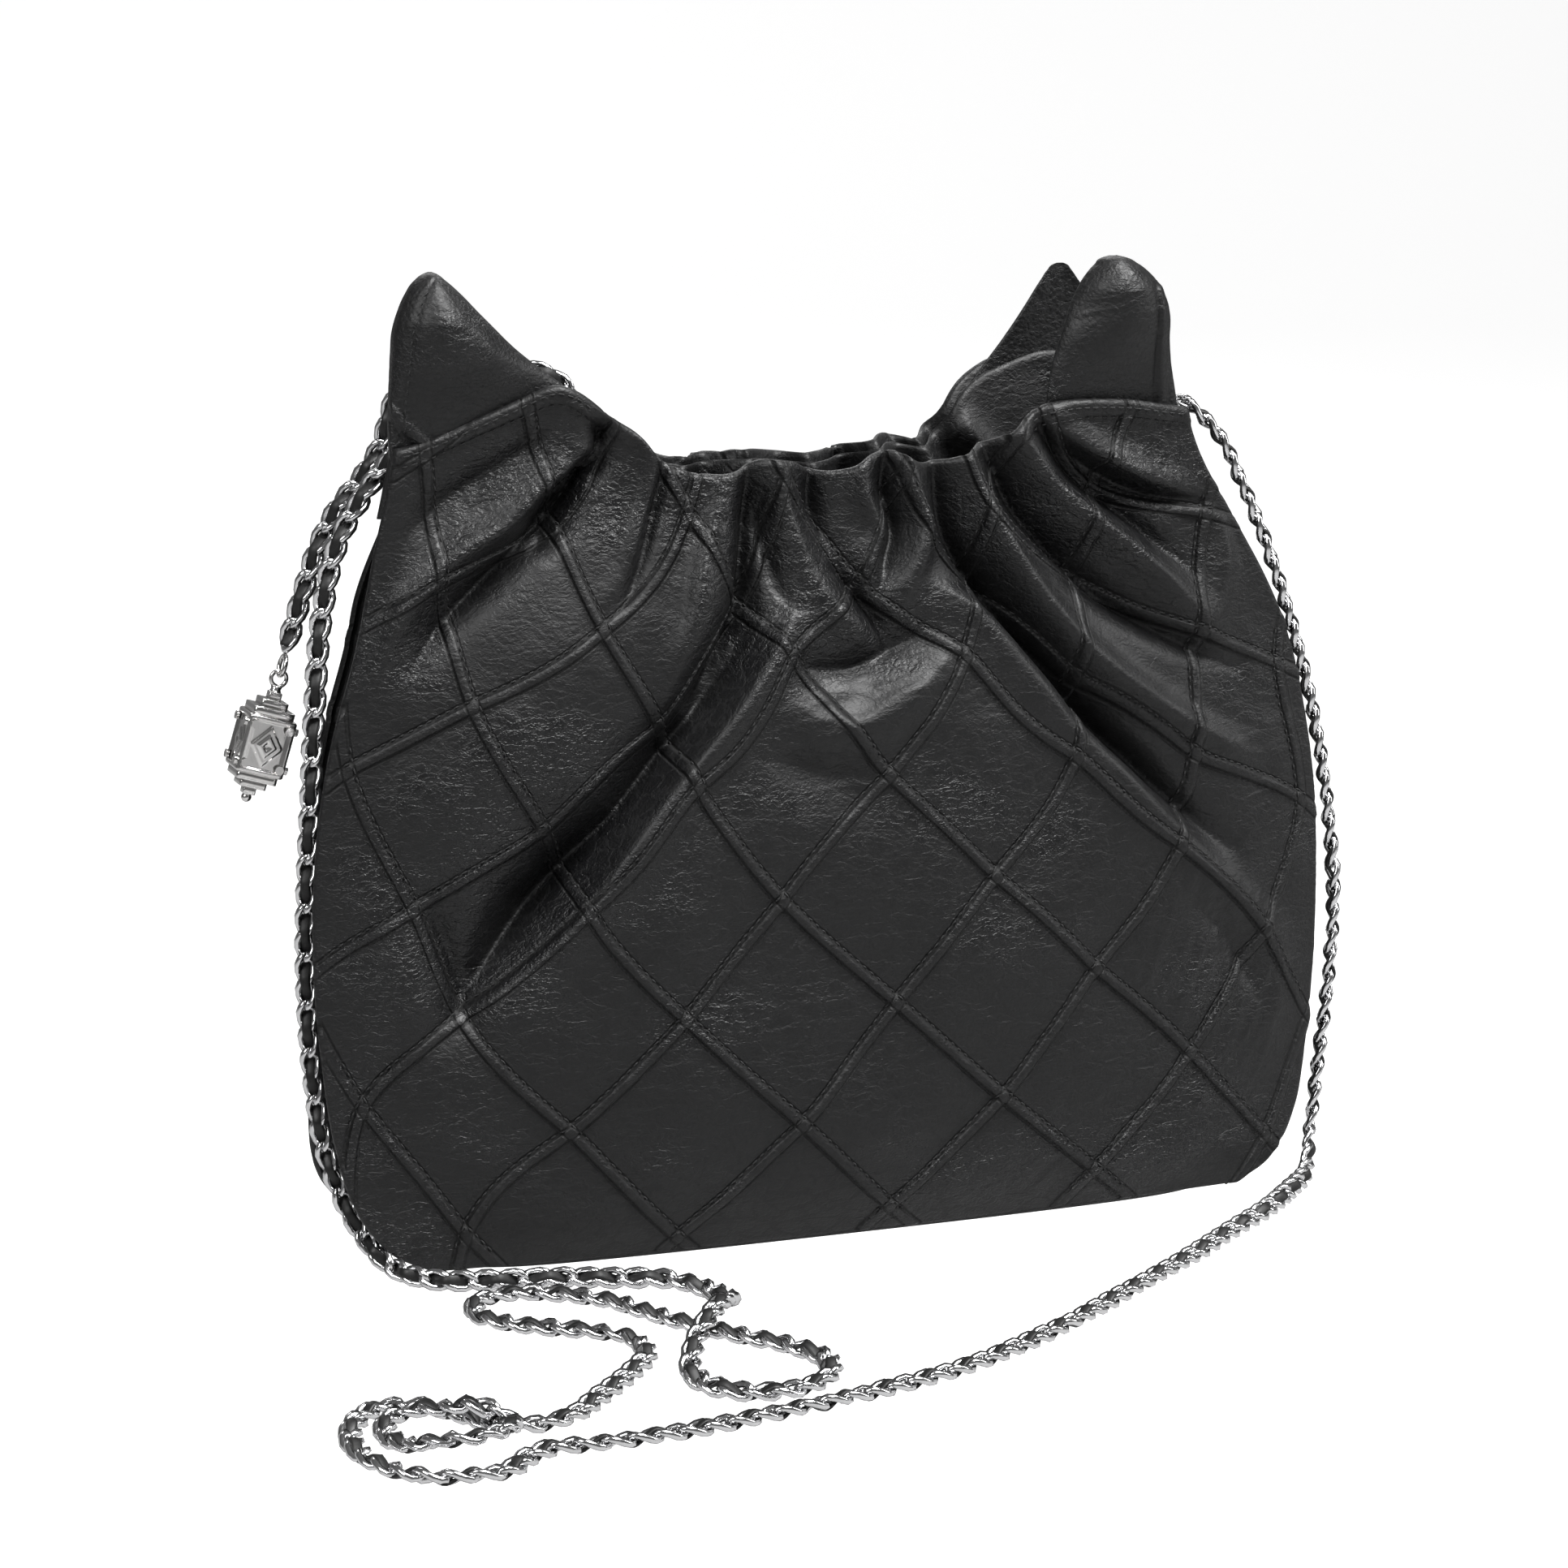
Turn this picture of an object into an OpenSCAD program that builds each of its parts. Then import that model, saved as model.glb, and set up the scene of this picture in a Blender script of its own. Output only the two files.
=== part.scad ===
// Slouchy gathered pouch bag in quilted leather, with four peaked ears,
// a woven chain strap and a hanging charm.
// Millimetres, +Z up, +X to the wearer's right, the front face towards -Y.
// The origin is the middle of the flat base, on the surface the bag stands on.

/* [Bag] */
// Greatest width of the bag, across its belly
bag_w = 254; // [250:1:258]
// Greatest depth of the bag, front to back
bag_d = 62; // [60:1:66]
// Height of the gathered rim in the middle of the mouth
rim_h = 181; // [178:1:184]
// Height of the seam that the four ears stand on
ear_seam_h = 196; // [194:1:200]
// Height of the tips of the three upright ears
ear_tip_h = 231; // [226:1:236]
// How far the top of the bag slouches to the left of its base
slouch = 9; // [0:1:10]

/* [Leather and lining] */
// Thickness of the quilted leather panels
leather_t = 2; // [1.6:0.1:2.2]
// Thickness of the gusset leather
gusset_t = 1.6; // [1.2:0.1:1.8]
// Thickness of the cloth lining
lining_t = 0.8; // [0.5:0.1:1]
// Thickness of the turned leather of an ear
ear_t = 3; // [2:0.2:3.6]
// Gap between two layers that lie on each other
layer_gap = 0.3; // [0.2:0.05:0.4]

/* [Strap chain] */
// Width of the woven chain
chain_d = 5.6; // [5:0.1:5.8]
// Number of flat sides of the plain tube that stands for the chain
chain_sides = 8; // [8:1:10]

/* [Pocket zip] */
// Length of the row of zip teeth
zip_l = 90; // [70:2:96]
// Height of the zip above the base
zip_z = 122; // [116:1:128]

/* [Charm] */
// Side of the charm's square middle block
charm_side = 11.5; // [11:0.5:13]
// Height of the charm's square middle block
charm_block_h = 13.5; // [11:0.5:15]
// How far the hanging charm leans away from the bag
charm_lean = 17; // [0:1:20]

/* [Hidden] */

// ---- The shape of the pouch -------------------------------------------------

// Half width as a share of the belly's, against height above the floor
SIDE_LINE = [
    [0, 0.79], [4, 0.86], [10, 0.91], [18, 0.945], [30, 0.97], [50, 0.99], [78, 1],
    [105, 0.985], [130, 0.945], [150, 0.89], [167, 0.835], [182, 0.785], [200, 0.75]
];
// Half depth in the middle of a panel as a share of the belly's, against height
MID_LINE = [
    [0, 0.87], [8, 0.95], [30, 1], [60, 1], [100, 0.94], [130, 0.81], [150, 0.68],
    [165, 0.56], [176, 0.48], [184, 0.48], [200, 0.56]
];
// Half depth at the side seams as a share of the belly's, against height
EDGE_LINE = [[0, 0.77], [26, 0.61], [60, 0.52], [100, 0.48], [140, 0.48], [170, 0.52], [200, 0.58]];
// How far the middle of a gusset folds inwards, against height
FOLD_LINE = [[0, 0], [26, 4], [60, 10], [100, 12], [150, 10], [186, 6]];

slouch_from = 135;
saddle_h = 186;
facing_h = 25;
facing_room = 1.3;
pocket_room = 1.6;
puff = 2.6;
rim_mid = 0.06;
rim_half = 0.36;
rim_rise = 0.2;
panel_cols = 28;
panel_rows = 20;

function ease(t) = let (c = min(1, max(0, t))) c * c * (3 - 2 * c);
function unit(v) = v / norm(v);
function half_w(z) = bag_w / 2 * lookup(z, SIDE_LINE);
function half_d(s, z) =
    bag_d / 2 * (lookup(z, EDGE_LINE)
        + (lookup(z, MID_LINE) - lookup(z, EDGE_LINE)) * (1 - pow(abs(s), puff)));
function slouch_at(z) = -slouch * ease((z - slouch_from) / (ear_seam_h - slouch_from));
// Height of the panel's upper edge at s, from -1 at the left seam to 1 at the right
function rim_z(s) =
    rim_h + (ear_seam_h - rim_h) * ease((abs(s - rim_mid) - rim_half) / rim_rise);
// A point of the front wall, at a distance inwards from its outer face
function wall(s, z, inwards) = [slouch_at(z) + s * half_w(z), inwards - half_d(s, z), z];

// ---- Grid solids ------------------------------------------------------------

function quad(a, b, c, d) = [[a, b, c], [a, c, d]];
// Faces of a closed sheet whose two sides are grids of (nu + 1) by (nv + 1) points
function sheet_faces(nu, nv) =
    let (
        m = nv + 1,
        k = (nu + 1) * m
    )
    concat(
        [for (i = [0 : nu - 1], j = [0 : nv - 1])
            each quad(i * m + j, i * m + j + 1, (i + 1) * m + j + 1, (i + 1) * m + j)],
        [for (i = [0 : nu - 1], j = [0 : nv - 1])
            each quad(k + i * m + j, k + (i + 1) * m + j, k + (i + 1) * m + j + 1, k + i * m + j + 1)],
        [for (i = [0 : nu - 1])
            each quad(i * m, (i + 1) * m, k + (i + 1) * m, k + i * m)],
        [for (i = [0 : nu - 1])
            each quad(i * m + nv, k + i * m + nv, k + (i + 1) * m + nv, (i + 1) * m + nv)],
        [for (j = [0 : nv - 1])
            each quad(j, k + j, k + j + 1, j + 1)],
        [for (j = [0 : nv - 1])
            each quad(nu * m + j, nu * m + j + 1, k + nu * m + j + 1, k + nu * m + j)]
    );

// A layer of the front wall, from one share of its width to another and between two heights.
// Its upper edge follows the rim where top_drop is a number, at that distance under the rim.
module wall_layer(inwards, thick, s0, s1, z0, z1, top_drop, nu, nv) {
    points = [for (side = [0, 1], i = [0 : nu], j = [0 : nv])
        let (
            s = s0 + (s1 - s0) * i / nu,
            top = is_undef(top_drop) ? z1 : rim_z(s) - top_drop,
            z = z0 + (top - z0) * pow(j / nv, z0 == 0 ? 1.4 : 1)
        )
        wall(s, z, inwards + side * thick)];
    polyhedron(points, sheet_faces(nu, nv), convexity = 6);
}

module back() {
    mirror([0, 1, 0]) children();
}

// ---- Panels -----------------------------------------------------------------

module panel() {
    wall_layer(0, leather_t, -1, 1, 0, undef, 0, panel_cols, panel_rows);
}

module front_panel() {
    color("#161616") panel();
}

module back_panel() {
    color("#161616") back() panel();
}

// ---- Gussets ----------------------------------------------------------------

gusset_cols = 8;
gusset_rows = 22;
seam_inset = 0.5;

function gusset_half(z) = half_d(1, z) - leather_t - layer_gap;
function side_slope(z) = (half_w(z + 1) - half_w(max(0, z - 1))) / (z < 1 ? z + 1 : 2);
// A point of the right side strip at q across its depth, from -1 at the front to 1 at the back
function strip(q, z, inwards) =
    let (
        n = unit([1, -side_slope(z)]),
        x = half_w(z) - seam_inset - lookup(z, FOLD_LINE) * (1 - q * q)
    )
    [x - inwards * n[0], q * gusset_half(z), z - inwards * n[1]];

// A layer of a side strip; side is -1 for the left gusset and 1 for the right one
module strip_layer(side, inwards, thick, reach, z0, z1) {
    points = [for (face = [0, 1], i = [0 : gusset_rows], j = [0 : gusset_cols])
        let (
            z = z0 + (z1 - z0) * pow(i / gusset_rows, 1.5),
            q = reach * (2 * j / gusset_cols - 1),
            p = strip(q, z, inwards + face * thick)
        )
        [p[0] + side * slouch_at(p[2]), p[1], p[2]]];
    mirror([side < 0 ? 1 : 0, 0, 0])
        polyhedron(points, sheet_faces(gusset_rows, gusset_cols), convexity = 6);
}

module left_gusset() {
    color("#141414") strip_layer(-1, 0, gusset_t, 1, 0, saddle_h);
}

module right_gusset() {
    color("#141414") strip_layer(1, 0, gusset_t, 1, 0, saddle_h);
}

// ---- Base -------------------------------------------------------------------

base_t = 2;
board_t = 1.6;
base_cols = 16;

// A flat plate inside the foot of the panels; clear is its distance from their outer faces
module base_plate(z, thick, clear, end_gap) {
    reach = half_w(0) - end_gap;
    front = [for (i = [0 : base_cols])
        let (s = 2 * i / base_cols - 1) [s * reach, clear - half_d(s, 0)]];
    rear = [for (i = [base_cols : -1 : 0]) [front[i][0], -front[i][1]]];
    translate([0, 0, z]) linear_extrude(thick) polygon(concat(front, rear));
}

module base_panel() {
    color("#121212") base_plate(0, base_t, leather_t + layer_gap, 1.2);
}

board_z = base_t + layer_gap;
floor_z = board_z + board_t + layer_gap;

module base_board() {
    color("#8a7a62") base_plate(board_z, board_t, leather_t + 2, 6);
}

// ---- Lining -----------------------------------------------------------------

lining_reach = 0.95;
lining_z0 = floor_z + 1.5;
lining_z1 = rim_h - facing_h - 0.4;

module front_lining() {
    color("#3a3a3c")
        wall_layer(leather_t + layer_gap, lining_t, -lining_reach, lining_reach,
            lining_z0, lining_z1, undef, 16, 12);
}

module back_lining() {
    color("#3a3a3c") back()
        wall_layer(leather_t + layer_gap + pocket_room, lining_t, -lining_reach, lining_reach,
            lining_z0, lining_z1, undef, 16, 12);
}

module left_lining() {
    color("#3a3a3c")
        strip_layer(-1, gusset_t + layer_gap, lining_t, 0.8, lining_z0, saddle_h - 0.5);
}

module right_lining() {
    color("#3a3a3c")
        strip_layer(1, gusset_t + layer_gap, lining_t, 0.8, lining_z0, saddle_h - 0.5);
}

module base_lining() {
    color("#3a3a3c")
        base_plate(floor_z, lining_t, leather_t + pocket_room + lining_t + 1, 6);
}

// ---- Facing bands and the elastic that gathers the mouth --------------------

facing_t = 1.2;
facing_reach = 0.88;
elastic_t = 0.9;
elastic_w = 6;
elastic_drop = 4;

module facing() {
    wall_layer(leather_t + layer_gap + facing_room, facing_t, -facing_reach, facing_reach,
        rim_h - facing_h, undef, 0.4, 24, 6);
}

module elastic() {
    wall_layer(leather_t + layer_gap + 0.3, elastic_t,
        rim_mid - rim_half, rim_mid + rim_half,
        rim_h - elastic_drop - elastic_w, rim_h - elastic_drop, undef, 12, 2);
}

module front_facing() {
    color("#1c1c1c") facing();
}

module back_facing() {
    color("#1c1c1c") back() facing();
}

module front_elastic() {
    color("#202020") elastic();
}

module back_elastic() {
    color("#202020") back() elastic();
}

// ---- Ears -------------------------------------------------------------------

ear_base_z = ear_seam_h + layer_gap;
ear_front_y = 18.3;
tip_r = 6;

// A flat ear with a round tip; its foot runs from foot_x0 to foot_x1 on the ear seam
module ear(foot_x0, foot_x1, tip_x, tip_z) {
    translate([0, ear_t - ear_front_y, ear_base_z]) rotate([90, 0, 0])
        linear_extrude(ear_t) hull() {
            translate([foot_x0, 0]) square([foot_x1 - foot_x0, 1]);
            translate([tip_x, tip_z - ear_base_z - tip_r]) circle(tip_r, $fn = 32);
        }
}

module front_left_ear() {
    color("#181818") ear(-107, -58, -99, ear_tip_h);
}

module front_right_ear() {
    color("#181818") ear(52, 88, 69, ear_tip_h);
}

// This ear is folded down towards the mouth, under the tail of the chain
module back_left_ear() {
    color("#181818") back() ear(-101, -62, -80, ear_seam_h + 13);
}

module back_right_ear() {
    color("#181818") back() ear(50, 84, 66, ear_tip_h - 5);
}

// ---- Leather tabs that hold the ends of the chain ---------------------------

tab_w = 6;
tab_t = 3;
tab_h = 20;
strap_y = -8;
tab_top = 174;
left_tab_x = -95.5;
right_tab_x = 80;
tail_tab = [-57, 7, 184];
rivet_r = 2;
rivet_t = 0.8;

module tab(top, across) {
    size = across ? [tab_w, tab_t, tab_h] : [tab_t, tab_w, tab_h];
    translate([top[0] - size[0] / 2, top[1] - size[1] / 2, top[2] - tab_h]) cube(size);
}

module left_chain_tab() {
    color("#1a1a1a") tab([left_tab_x, strap_y, tab_top], false);
}

module right_chain_tab() {
    color("#1a1a1a") tab([right_tab_x, strap_y, tab_top], false);
}

module tail_chain_tab() {
    color("#1a1a1a") tab(tail_tab, true);
}

// One round rivet head on the inner face of each tab
module chain_tab_rivets() {
    color("#b9bcc0") {
        translate([left_tab_x + tab_t / 2, strap_y, tab_top - tab_h + 5])
            rotate([0, 90, 0]) cylinder(r = rivet_r, h = rivet_t, $fn = 32);
        translate([right_tab_x - tab_t / 2, strap_y, tab_top - tab_h + 5])
            rotate([0, -90, 0]) cylinder(r = rivet_r, h = rivet_t, $fn = 32);
        translate([tail_tab[0], tail_tab[1] - tab_t / 2, tail_tab[2] - tab_h + 5])
            rotate([90, 0, 0]) cylinder(r = rivet_r, h = rivet_t, $fn = 32);
    }
}

// ---- Magnetic snap ----------------------------------------------------------

snap_z = 163;
snap_r = 7;
snap_t = 2.2;
stud_r = 2.6;
stud_h = 1.6;
washer_r = 6;
washer_t = 0.8;
facing_face = leather_t + layer_gap + facing_room + facing_t;
snap_tilt = atan((half_d(0, snap_z - 4) - half_d(0, snap_z + 4)) / 8);

// Places a round piece on the front facing with its axis square to the wall, facing inwards
module on_wall(inwards) {
    translate([slouch_at(snap_z), inwards / cos(snap_tilt) - half_d(0, snap_z), snap_z])
        rotate([-90 - snap_tilt, 0, 0]) children();
}

module snap_stud() {
    color("#c4c7ca") on_wall(facing_face + 0.5) {
        cylinder(r = snap_r, h = snap_t, $fn = 48);
        translate([0, 0, snap_t]) cylinder(r = stud_r, h = stud_h, $fn = 32);
    }
}

module snap_socket() {
    color("#c4c7ca") back() on_wall(facing_face + 0.5)
        difference() {
            cylinder(r = snap_r, h = snap_t, $fn = 48);
            translate([0, 0, 0.6]) cylinder(r = stud_r + 0.3, h = snap_t, $fn = 32);
        }
}

module snap_washer() {
    on_wall(leather_t + layer_gap + 0.3)
        cylinder(r = washer_r, h = washer_t, $fn = 32);
}

module snap_stud_washer() {
    color("#9fa2a5") snap_washer();
}

module snap_socket_washer() {
    color("#9fa2a5") back() snap_washer();
}

// ---- Zipped pocket in the back lining ---------------------------------------

zip_half = zip_l / bag_w;
lining_face = leather_t + layer_gap + pocket_room + lining_t;
welt_w = 18;
welt_t = 1;
welt_slot = 7;
tape_t = 0.6;
teeth_w = 2.2;
teeth_t = 1;
tape_in = lining_face + layer_gap;
welt_in = tape_in + tape_t + 0.2;
slider_l = 9;
slider_w = 6;
slider_t = 1.6;
pull_l = 20;
pull_w = 4;
pull_t = 1;
lug_gap = 2.4;
pull_pin_r = 0.9;
pull_bore_r = 1.15;

module pocket_bag() {
    color("#2f2f31") back()
        wall_layer(leather_t + layer_gap + 0.3, 1, -0.42, 0.42, 48, zip_z + 4, undef, 12, 8);
}

module band(inwards, thick, half_span, width) {
    back() wall_layer(inwards, thick, -half_span, half_span,
        zip_z - width / 2, zip_z + width / 2, undef, 14, 2);
}

module slot_cut(half_span, width) {
    translate([-half_span * bag_w / 2, 0, zip_z - width / 2])
        cube([half_span * bag_w, bag_d, width]);
}

module pocket_welt() {
    color("#1d1d1d") difference() {
        band(welt_in, welt_t, zip_half + 0.06, welt_w);
        slot_cut(zip_half + 0.015, welt_slot);
    }
}

module zip_tape() {
    color("#101010") difference() {
        band(tape_in, tape_t, zip_half + 0.045, welt_w - 4);
        slot_cut(zip_half + 0.01, teeth_w + 0.4);
    }
}

module zip_teeth() {
    color("#b4b7ba") band(tape_in, teeth_t, zip_half, teeth_w);
}

// The closed end of the zip, where the slider stands
slider_x0 = 8 - zip_l / 2;
// The slider's rear face clears the teeth along the whole travel
slider_y = half_d(zip_half, zip_z) - tape_in - teeth_t - 0.5;
lug_y = slider_y - slider_t - lug_gap;

module zip_slider() {
    color("#c0c3c6") {
        translate([slider_x0 - slider_l / 2, slider_y - slider_t, zip_z - slider_w / 2])
            cube([slider_l, slider_t, slider_w]);
        translate([slider_x0, lug_y, zip_z]) rotate([0, 90, 0])
            cylinder(r = pull_pin_r, h = pull_w + 3, center = true, $fn = 32);
        for (side = [-1, 1])
            translate([slider_x0 + side * (pull_w / 2 + 1) - 0.6, lug_y - pull_pin_r,
                zip_z - pull_pin_r])
                cube([1.2, slider_y - slider_t - lug_y + pull_pin_r + 0.2, 2 * pull_pin_r]);
    }
}

module zip_pull() {
    color("#c0c3c6") translate([slider_x0, lug_y, zip_z]) difference() {
        union() {
            rotate([0, 90, 0]) cylinder(r = 2, h = pull_w - 0.6, center = true, $fn = 48);
            translate([0.3 - pull_w / 2, -pull_t / 2, -pull_l])
                cube([pull_w - 0.6, pull_t, pull_l - 1]);
        }
        rotate([0, 90, 0]) cylinder(r = pull_bore_r, h = pull_w + 2, center = true, $fn = 48);
    }
}

module inner_patch() {
    color("#242424")
        back() wall_layer(lining_face + layer_gap, 1, -0.16, 0.16, 134, 150, undef, 6, 2);
}

// ---- Chain routes -----------------------------------------------------------

lie = chain_d / 2 + 0.1;
// From the tab inside the right saddle, down the right side and over the floor to the coil
RIGHT_ROUTE = [
    [80, -8, 174], [80, -8, 184], [82.5, -8, 191], [90, -9, 194], [98, -10, 188.5],
    [108, -11, 171], [115, -12, 154], [122, -12, 134], [128, -12, 112], [132, -12, 90],
    [134, -12, 68], [133, -12, 46], [130, -13, 24], [127, -16, 9], [121, -26, lie],
    [111, -38, lie], [98, -51, lie], [82, -64, lie], [64, -79, lie], [44, -94, lie],
    [24, -109, lie], [3, -123, lie], [-18, -134, lie], [-40, -141, lie], [-62, -146, lie],
    [-84, -150, lie], [-102, -151, lie], [-116.8, -151, lie]
];
// From the coil over the floor in two bends and a loop, up the left side to its tab
LEFT_ROUTE = [
    [-116.8, -134, lie], [-107, -134, lie], [-95, -123, lie], [-85, -112, lie],
    [-77, -100, lie], [-78, -88, lie], [-87, -80, lie], [-97, -73, lie], [-104, -63, lie],
    [-101, -53, lie], [-91, -51, lie], [-81, -56, lie], [-73, -64, lie], [-67, -76, lie],
    [-60, -88, lie], [-53, -98, lie], [-46, -107, lie], [-42, -118, lie], [-46, -129, lie],
    [-57, -134, lie], [-68, -130, lie], [-73, -119, lie + 0.5], [-69, -108, lie + 3],
    [-61, -97, lie + 6.1], [-54, -86, lie + 5], [-49, -75, lie + 1], [-50, -63, lie],
    [-56, -53, lie], [-67, -48, lie], [-80, -43, lie], [-94, -40, lie], [-107, -34, lie],
    [-114, -22, lie + 1], [-119, -12, 12], [-124, -9, 26], [-127, -8, 46], [-128, -8, 68],
    [-127.5, -8, 90], [-126, -8, 112], [-124.5, -8, 134], [-122.5, -8, 154], [-118, -8, 171],
    [-111.5, -8, 181.5], [-103.5, -8, 189.5], [-97, -8, 188], [-95.5, -8, 181], [-95.5, -8, 174]
];
// From its tab at the back of the mouth, over the folded ear and the left saddle, to the charm
TAIL_ROUTE = [
    [-57, 7, 184], [-57, 7, 194], [-60, 7, 202], [-68, 7, 206], [-80, 6, 207],
    [-91, 5, 207], [-99, 5, 204], [-102, 5, 198], [-104, 5, 191], [-109, 5, 183],
    [-115, 5, 176], [-119.5, 5, 168], [-122.5, 5, 160], [-125.5, 5, 151], [-127.6, 5, 144.6]
];
coil_x = -136;
coil_y0 = -144;
coil_y1 = -130;
coil_r = 19;
coil_h = 2 * chain_d + 0.6;

function tangents(p) =
    let (n = len(p) - 1)
    [for (i = [0 : n]) unit(p[min(n, i + 1)] - p[max(0, i - 1)])];
// One normal at each point, each turned as little as may be from the one before
function normals(t, last, i = 0, found = []) =
    i == len(t) ? found :
    let (n = unit(last - (last * t[i]) * t[i]))
    normals(t, n, i + 1, concat(found, [n]));

module tube(route, start) {
    t = tangents(route);
    n = normals(t, start);
    last = (len(route) - 1) * chain_sides;
    points = [for (i = [0 : len(route) - 1], k = [0 : chain_sides - 1])
        let (a = 360 * (k + 0.5) / chain_sides)
        route[i] + chain_d / 2 * (cos(a) * n[i] + sin(a) * cross(t[i], n[i]))];
    sides = [for (i = [0 : len(route) - 2], k = [0 : chain_sides - 1])
        let (
            a = i * chain_sides + k,
            b = i * chain_sides + (k + 1) % chain_sides
        )
        each quad(a, a + chain_sides, b + chain_sides, b)];
    ends = [
        [for (k = [0 : chain_sides - 1]) k],
        [for (k = [chain_sides - 1 : -1 : 0]) last + k]
    ];
    polyhedron(points, concat(sides, ends), convexity = 10);
}

module strap_right_run() {
    color("#8f9296") tube(RIGHT_ROUTE, [0, 1, 0]);
}

module strap_left_run() {
    color("#8f9296") tube(LEFT_ROUTE, [0, 0, 1]);
}

module tail_run() {
    color("#8f9296") tube(TAIL_ROUTE, [0, 1, 0]);
}

// The outer shape of the loose flat coil
module strap_coil() {
    color("#8f9296") linear_extrude(coil_h) hull() {
        translate([coil_x, coil_y0]) circle(coil_r, $fn = 48);
        translate([coil_x, coil_y1]) circle(coil_r, $fn = 48);
    }
}

// ---- Charm ------------------------------------------------------------------

// Where the jump ring hangs in the last link of the tail
charm_pivot = [-128.3, 5, 141.6];
ring_r = 2.4;
ring_wire = 0.55;
bail_r = 1.8;
bail_wire = 0.5;
link_clear = 1.3;
bail_clear = 1.1;
ring_z = -link_clear;
swing_z = ring_z - ring_r;
bail_z = swing_z + bail_clear - bail_r;
neck_r = 1.5;
neck_h = 1.4;
step_h = 1.8;
steps = 3;
step_in = 1.7;
cap_top = bail_z - bail_r;
block_top = cap_top - neck_h - steps * step_h;
block_foot = block_top - charm_block_h;
stud_ball_r = 1;

module charm_place() {
    translate(charm_pivot) rotate([0, charm_lean, 0]) children();
}

module ring(radius, wire) {
    rotate_extrude($fn = 48) translate([radius, 0]) circle(wire, $fn = 24);
}

// Square steps that shrink away from the block; up is 1 for the cap and -1 for the foot
module stepped(up) {
    for (i = [0 : steps - 1]) {
        side = charm_side - 2 * step_in * (i + 0.5);
        translate([-side / 2, -side / 2, up > 0 ? i * step_h : -(i + 1) * step_h])
            cube([side, side, step_h]);
    }
}

module charm_ring() {
    color("#d0d2d4") charm_place() translate([0, 0, ring_z]) rotate([0, 90, 0])
        ring(ring_r, ring_wire);
}

module charm_cap() {
    color("#d0d2d4") charm_place() {
        translate([0, 0, bail_z]) rotate([90, 0, 0]) ring(bail_r, bail_wire);
        translate([0, 0, cap_top - neck_h]) cylinder(r = neck_r, h = neck_h + 0.3, $fn = 32);
        translate([0, 0, block_top]) stepped(1);
    }
}

module charm_block() {
    color("#d0d2d4") charm_place()
        translate([-charm_side / 2, -charm_side / 2, block_foot])
            cube([charm_side, charm_side, charm_block_h]);
}

module charm_foot() {
    color("#d0d2d4") charm_place() {
        translate([0, 0, block_foot]) stepped(-1);
        translate([0, 0, block_foot - steps * step_h - 0.8]) sphere(1.2, $fn = 24);
    }
}

// Half balls on the four upright faces of the block
module charm_studs() {
    color("#d0d2d4") charm_place()
        for (turn = [0 : 90 : 270], up = [-1, 1], along = [-1, 1])
            rotate([0, 0, turn])
                translate([charm_side / 2, along * charm_side * 0.36,
                    (block_top + block_foot) / 2 + up * charm_block_h * 0.34])
                    rotate([0, 90, 0]) cylinder(r = stud_ball_r, h = 0.7, $fn = 24);
}

front_panel();
back_panel();
left_gusset();
right_gusset();
base_panel();
base_board();
front_lining();
back_lining();
left_lining();
right_lining();
base_lining();
front_facing();
back_facing();
front_elastic();
back_elastic();
front_left_ear();
front_right_ear();
back_left_ear();
back_right_ear();
left_chain_tab();
right_chain_tab();
tail_chain_tab();
chain_tab_rivets();
snap_stud();
snap_socket();
snap_stud_washer();
snap_socket_washer();
pocket_bag();
pocket_welt();
zip_tape();
zip_teeth();
zip_slider();
zip_pull();
inner_patch();
strap_right_run();
strap_coil();
strap_left_run();
tail_run();
charm_ring();
charm_cap();
charm_block();
charm_foot();
charm_studs();
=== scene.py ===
# %% [markdown]
# # A gathered pouch bag in quilted black leather
# The real bag is a soft pouch: two quilted leather panels, folded side strips, a mouth drawn together
# by elastic, and four plain peaked ears that stand up from its corners. A chain strap with a leather
# ribbon woven through it lies in front, and a short tail of the same chain carries a small charm.
# The measured parts come first, as a fixed frame, and every surface here is built over them.

# %% Load the measured frame
import bpy
import numpy as np
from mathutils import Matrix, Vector


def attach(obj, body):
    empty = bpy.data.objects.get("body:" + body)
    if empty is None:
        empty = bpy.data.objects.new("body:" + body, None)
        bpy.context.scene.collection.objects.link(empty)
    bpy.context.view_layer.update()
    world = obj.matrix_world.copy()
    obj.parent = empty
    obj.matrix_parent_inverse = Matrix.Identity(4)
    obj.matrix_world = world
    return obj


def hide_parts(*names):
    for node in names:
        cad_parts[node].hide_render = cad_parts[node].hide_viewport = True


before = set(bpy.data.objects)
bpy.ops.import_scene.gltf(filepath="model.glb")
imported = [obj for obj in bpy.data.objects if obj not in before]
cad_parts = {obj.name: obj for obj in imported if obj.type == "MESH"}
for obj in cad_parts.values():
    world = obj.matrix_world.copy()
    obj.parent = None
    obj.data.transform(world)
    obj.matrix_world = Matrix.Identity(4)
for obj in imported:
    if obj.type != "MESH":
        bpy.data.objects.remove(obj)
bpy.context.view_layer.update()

MM = 0.001

# %% [markdown]
# ## Small tools
# Every shape in this file is a function of two parameters worked out for a whole grid at once.
# These helpers blend between given numbers, make a mesh from a grid of points and give it a
# smooth finish. A smooth table is a cubic through its rows, so an outline has no corners.

# %% Curves and noise
def ease(t):
    """0 below 0, 1 above 1, and t squared times (3 - 2 t) between, which starts and stops gently."""
    c = np.clip(t, 0, 1)
    return c * c * (3 - 2 * c)


def bell(d, width):
    """1 at d = 0, falling as e to the minus (d over width) squared."""
    return np.exp(-(d / width) ** 2)


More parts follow.
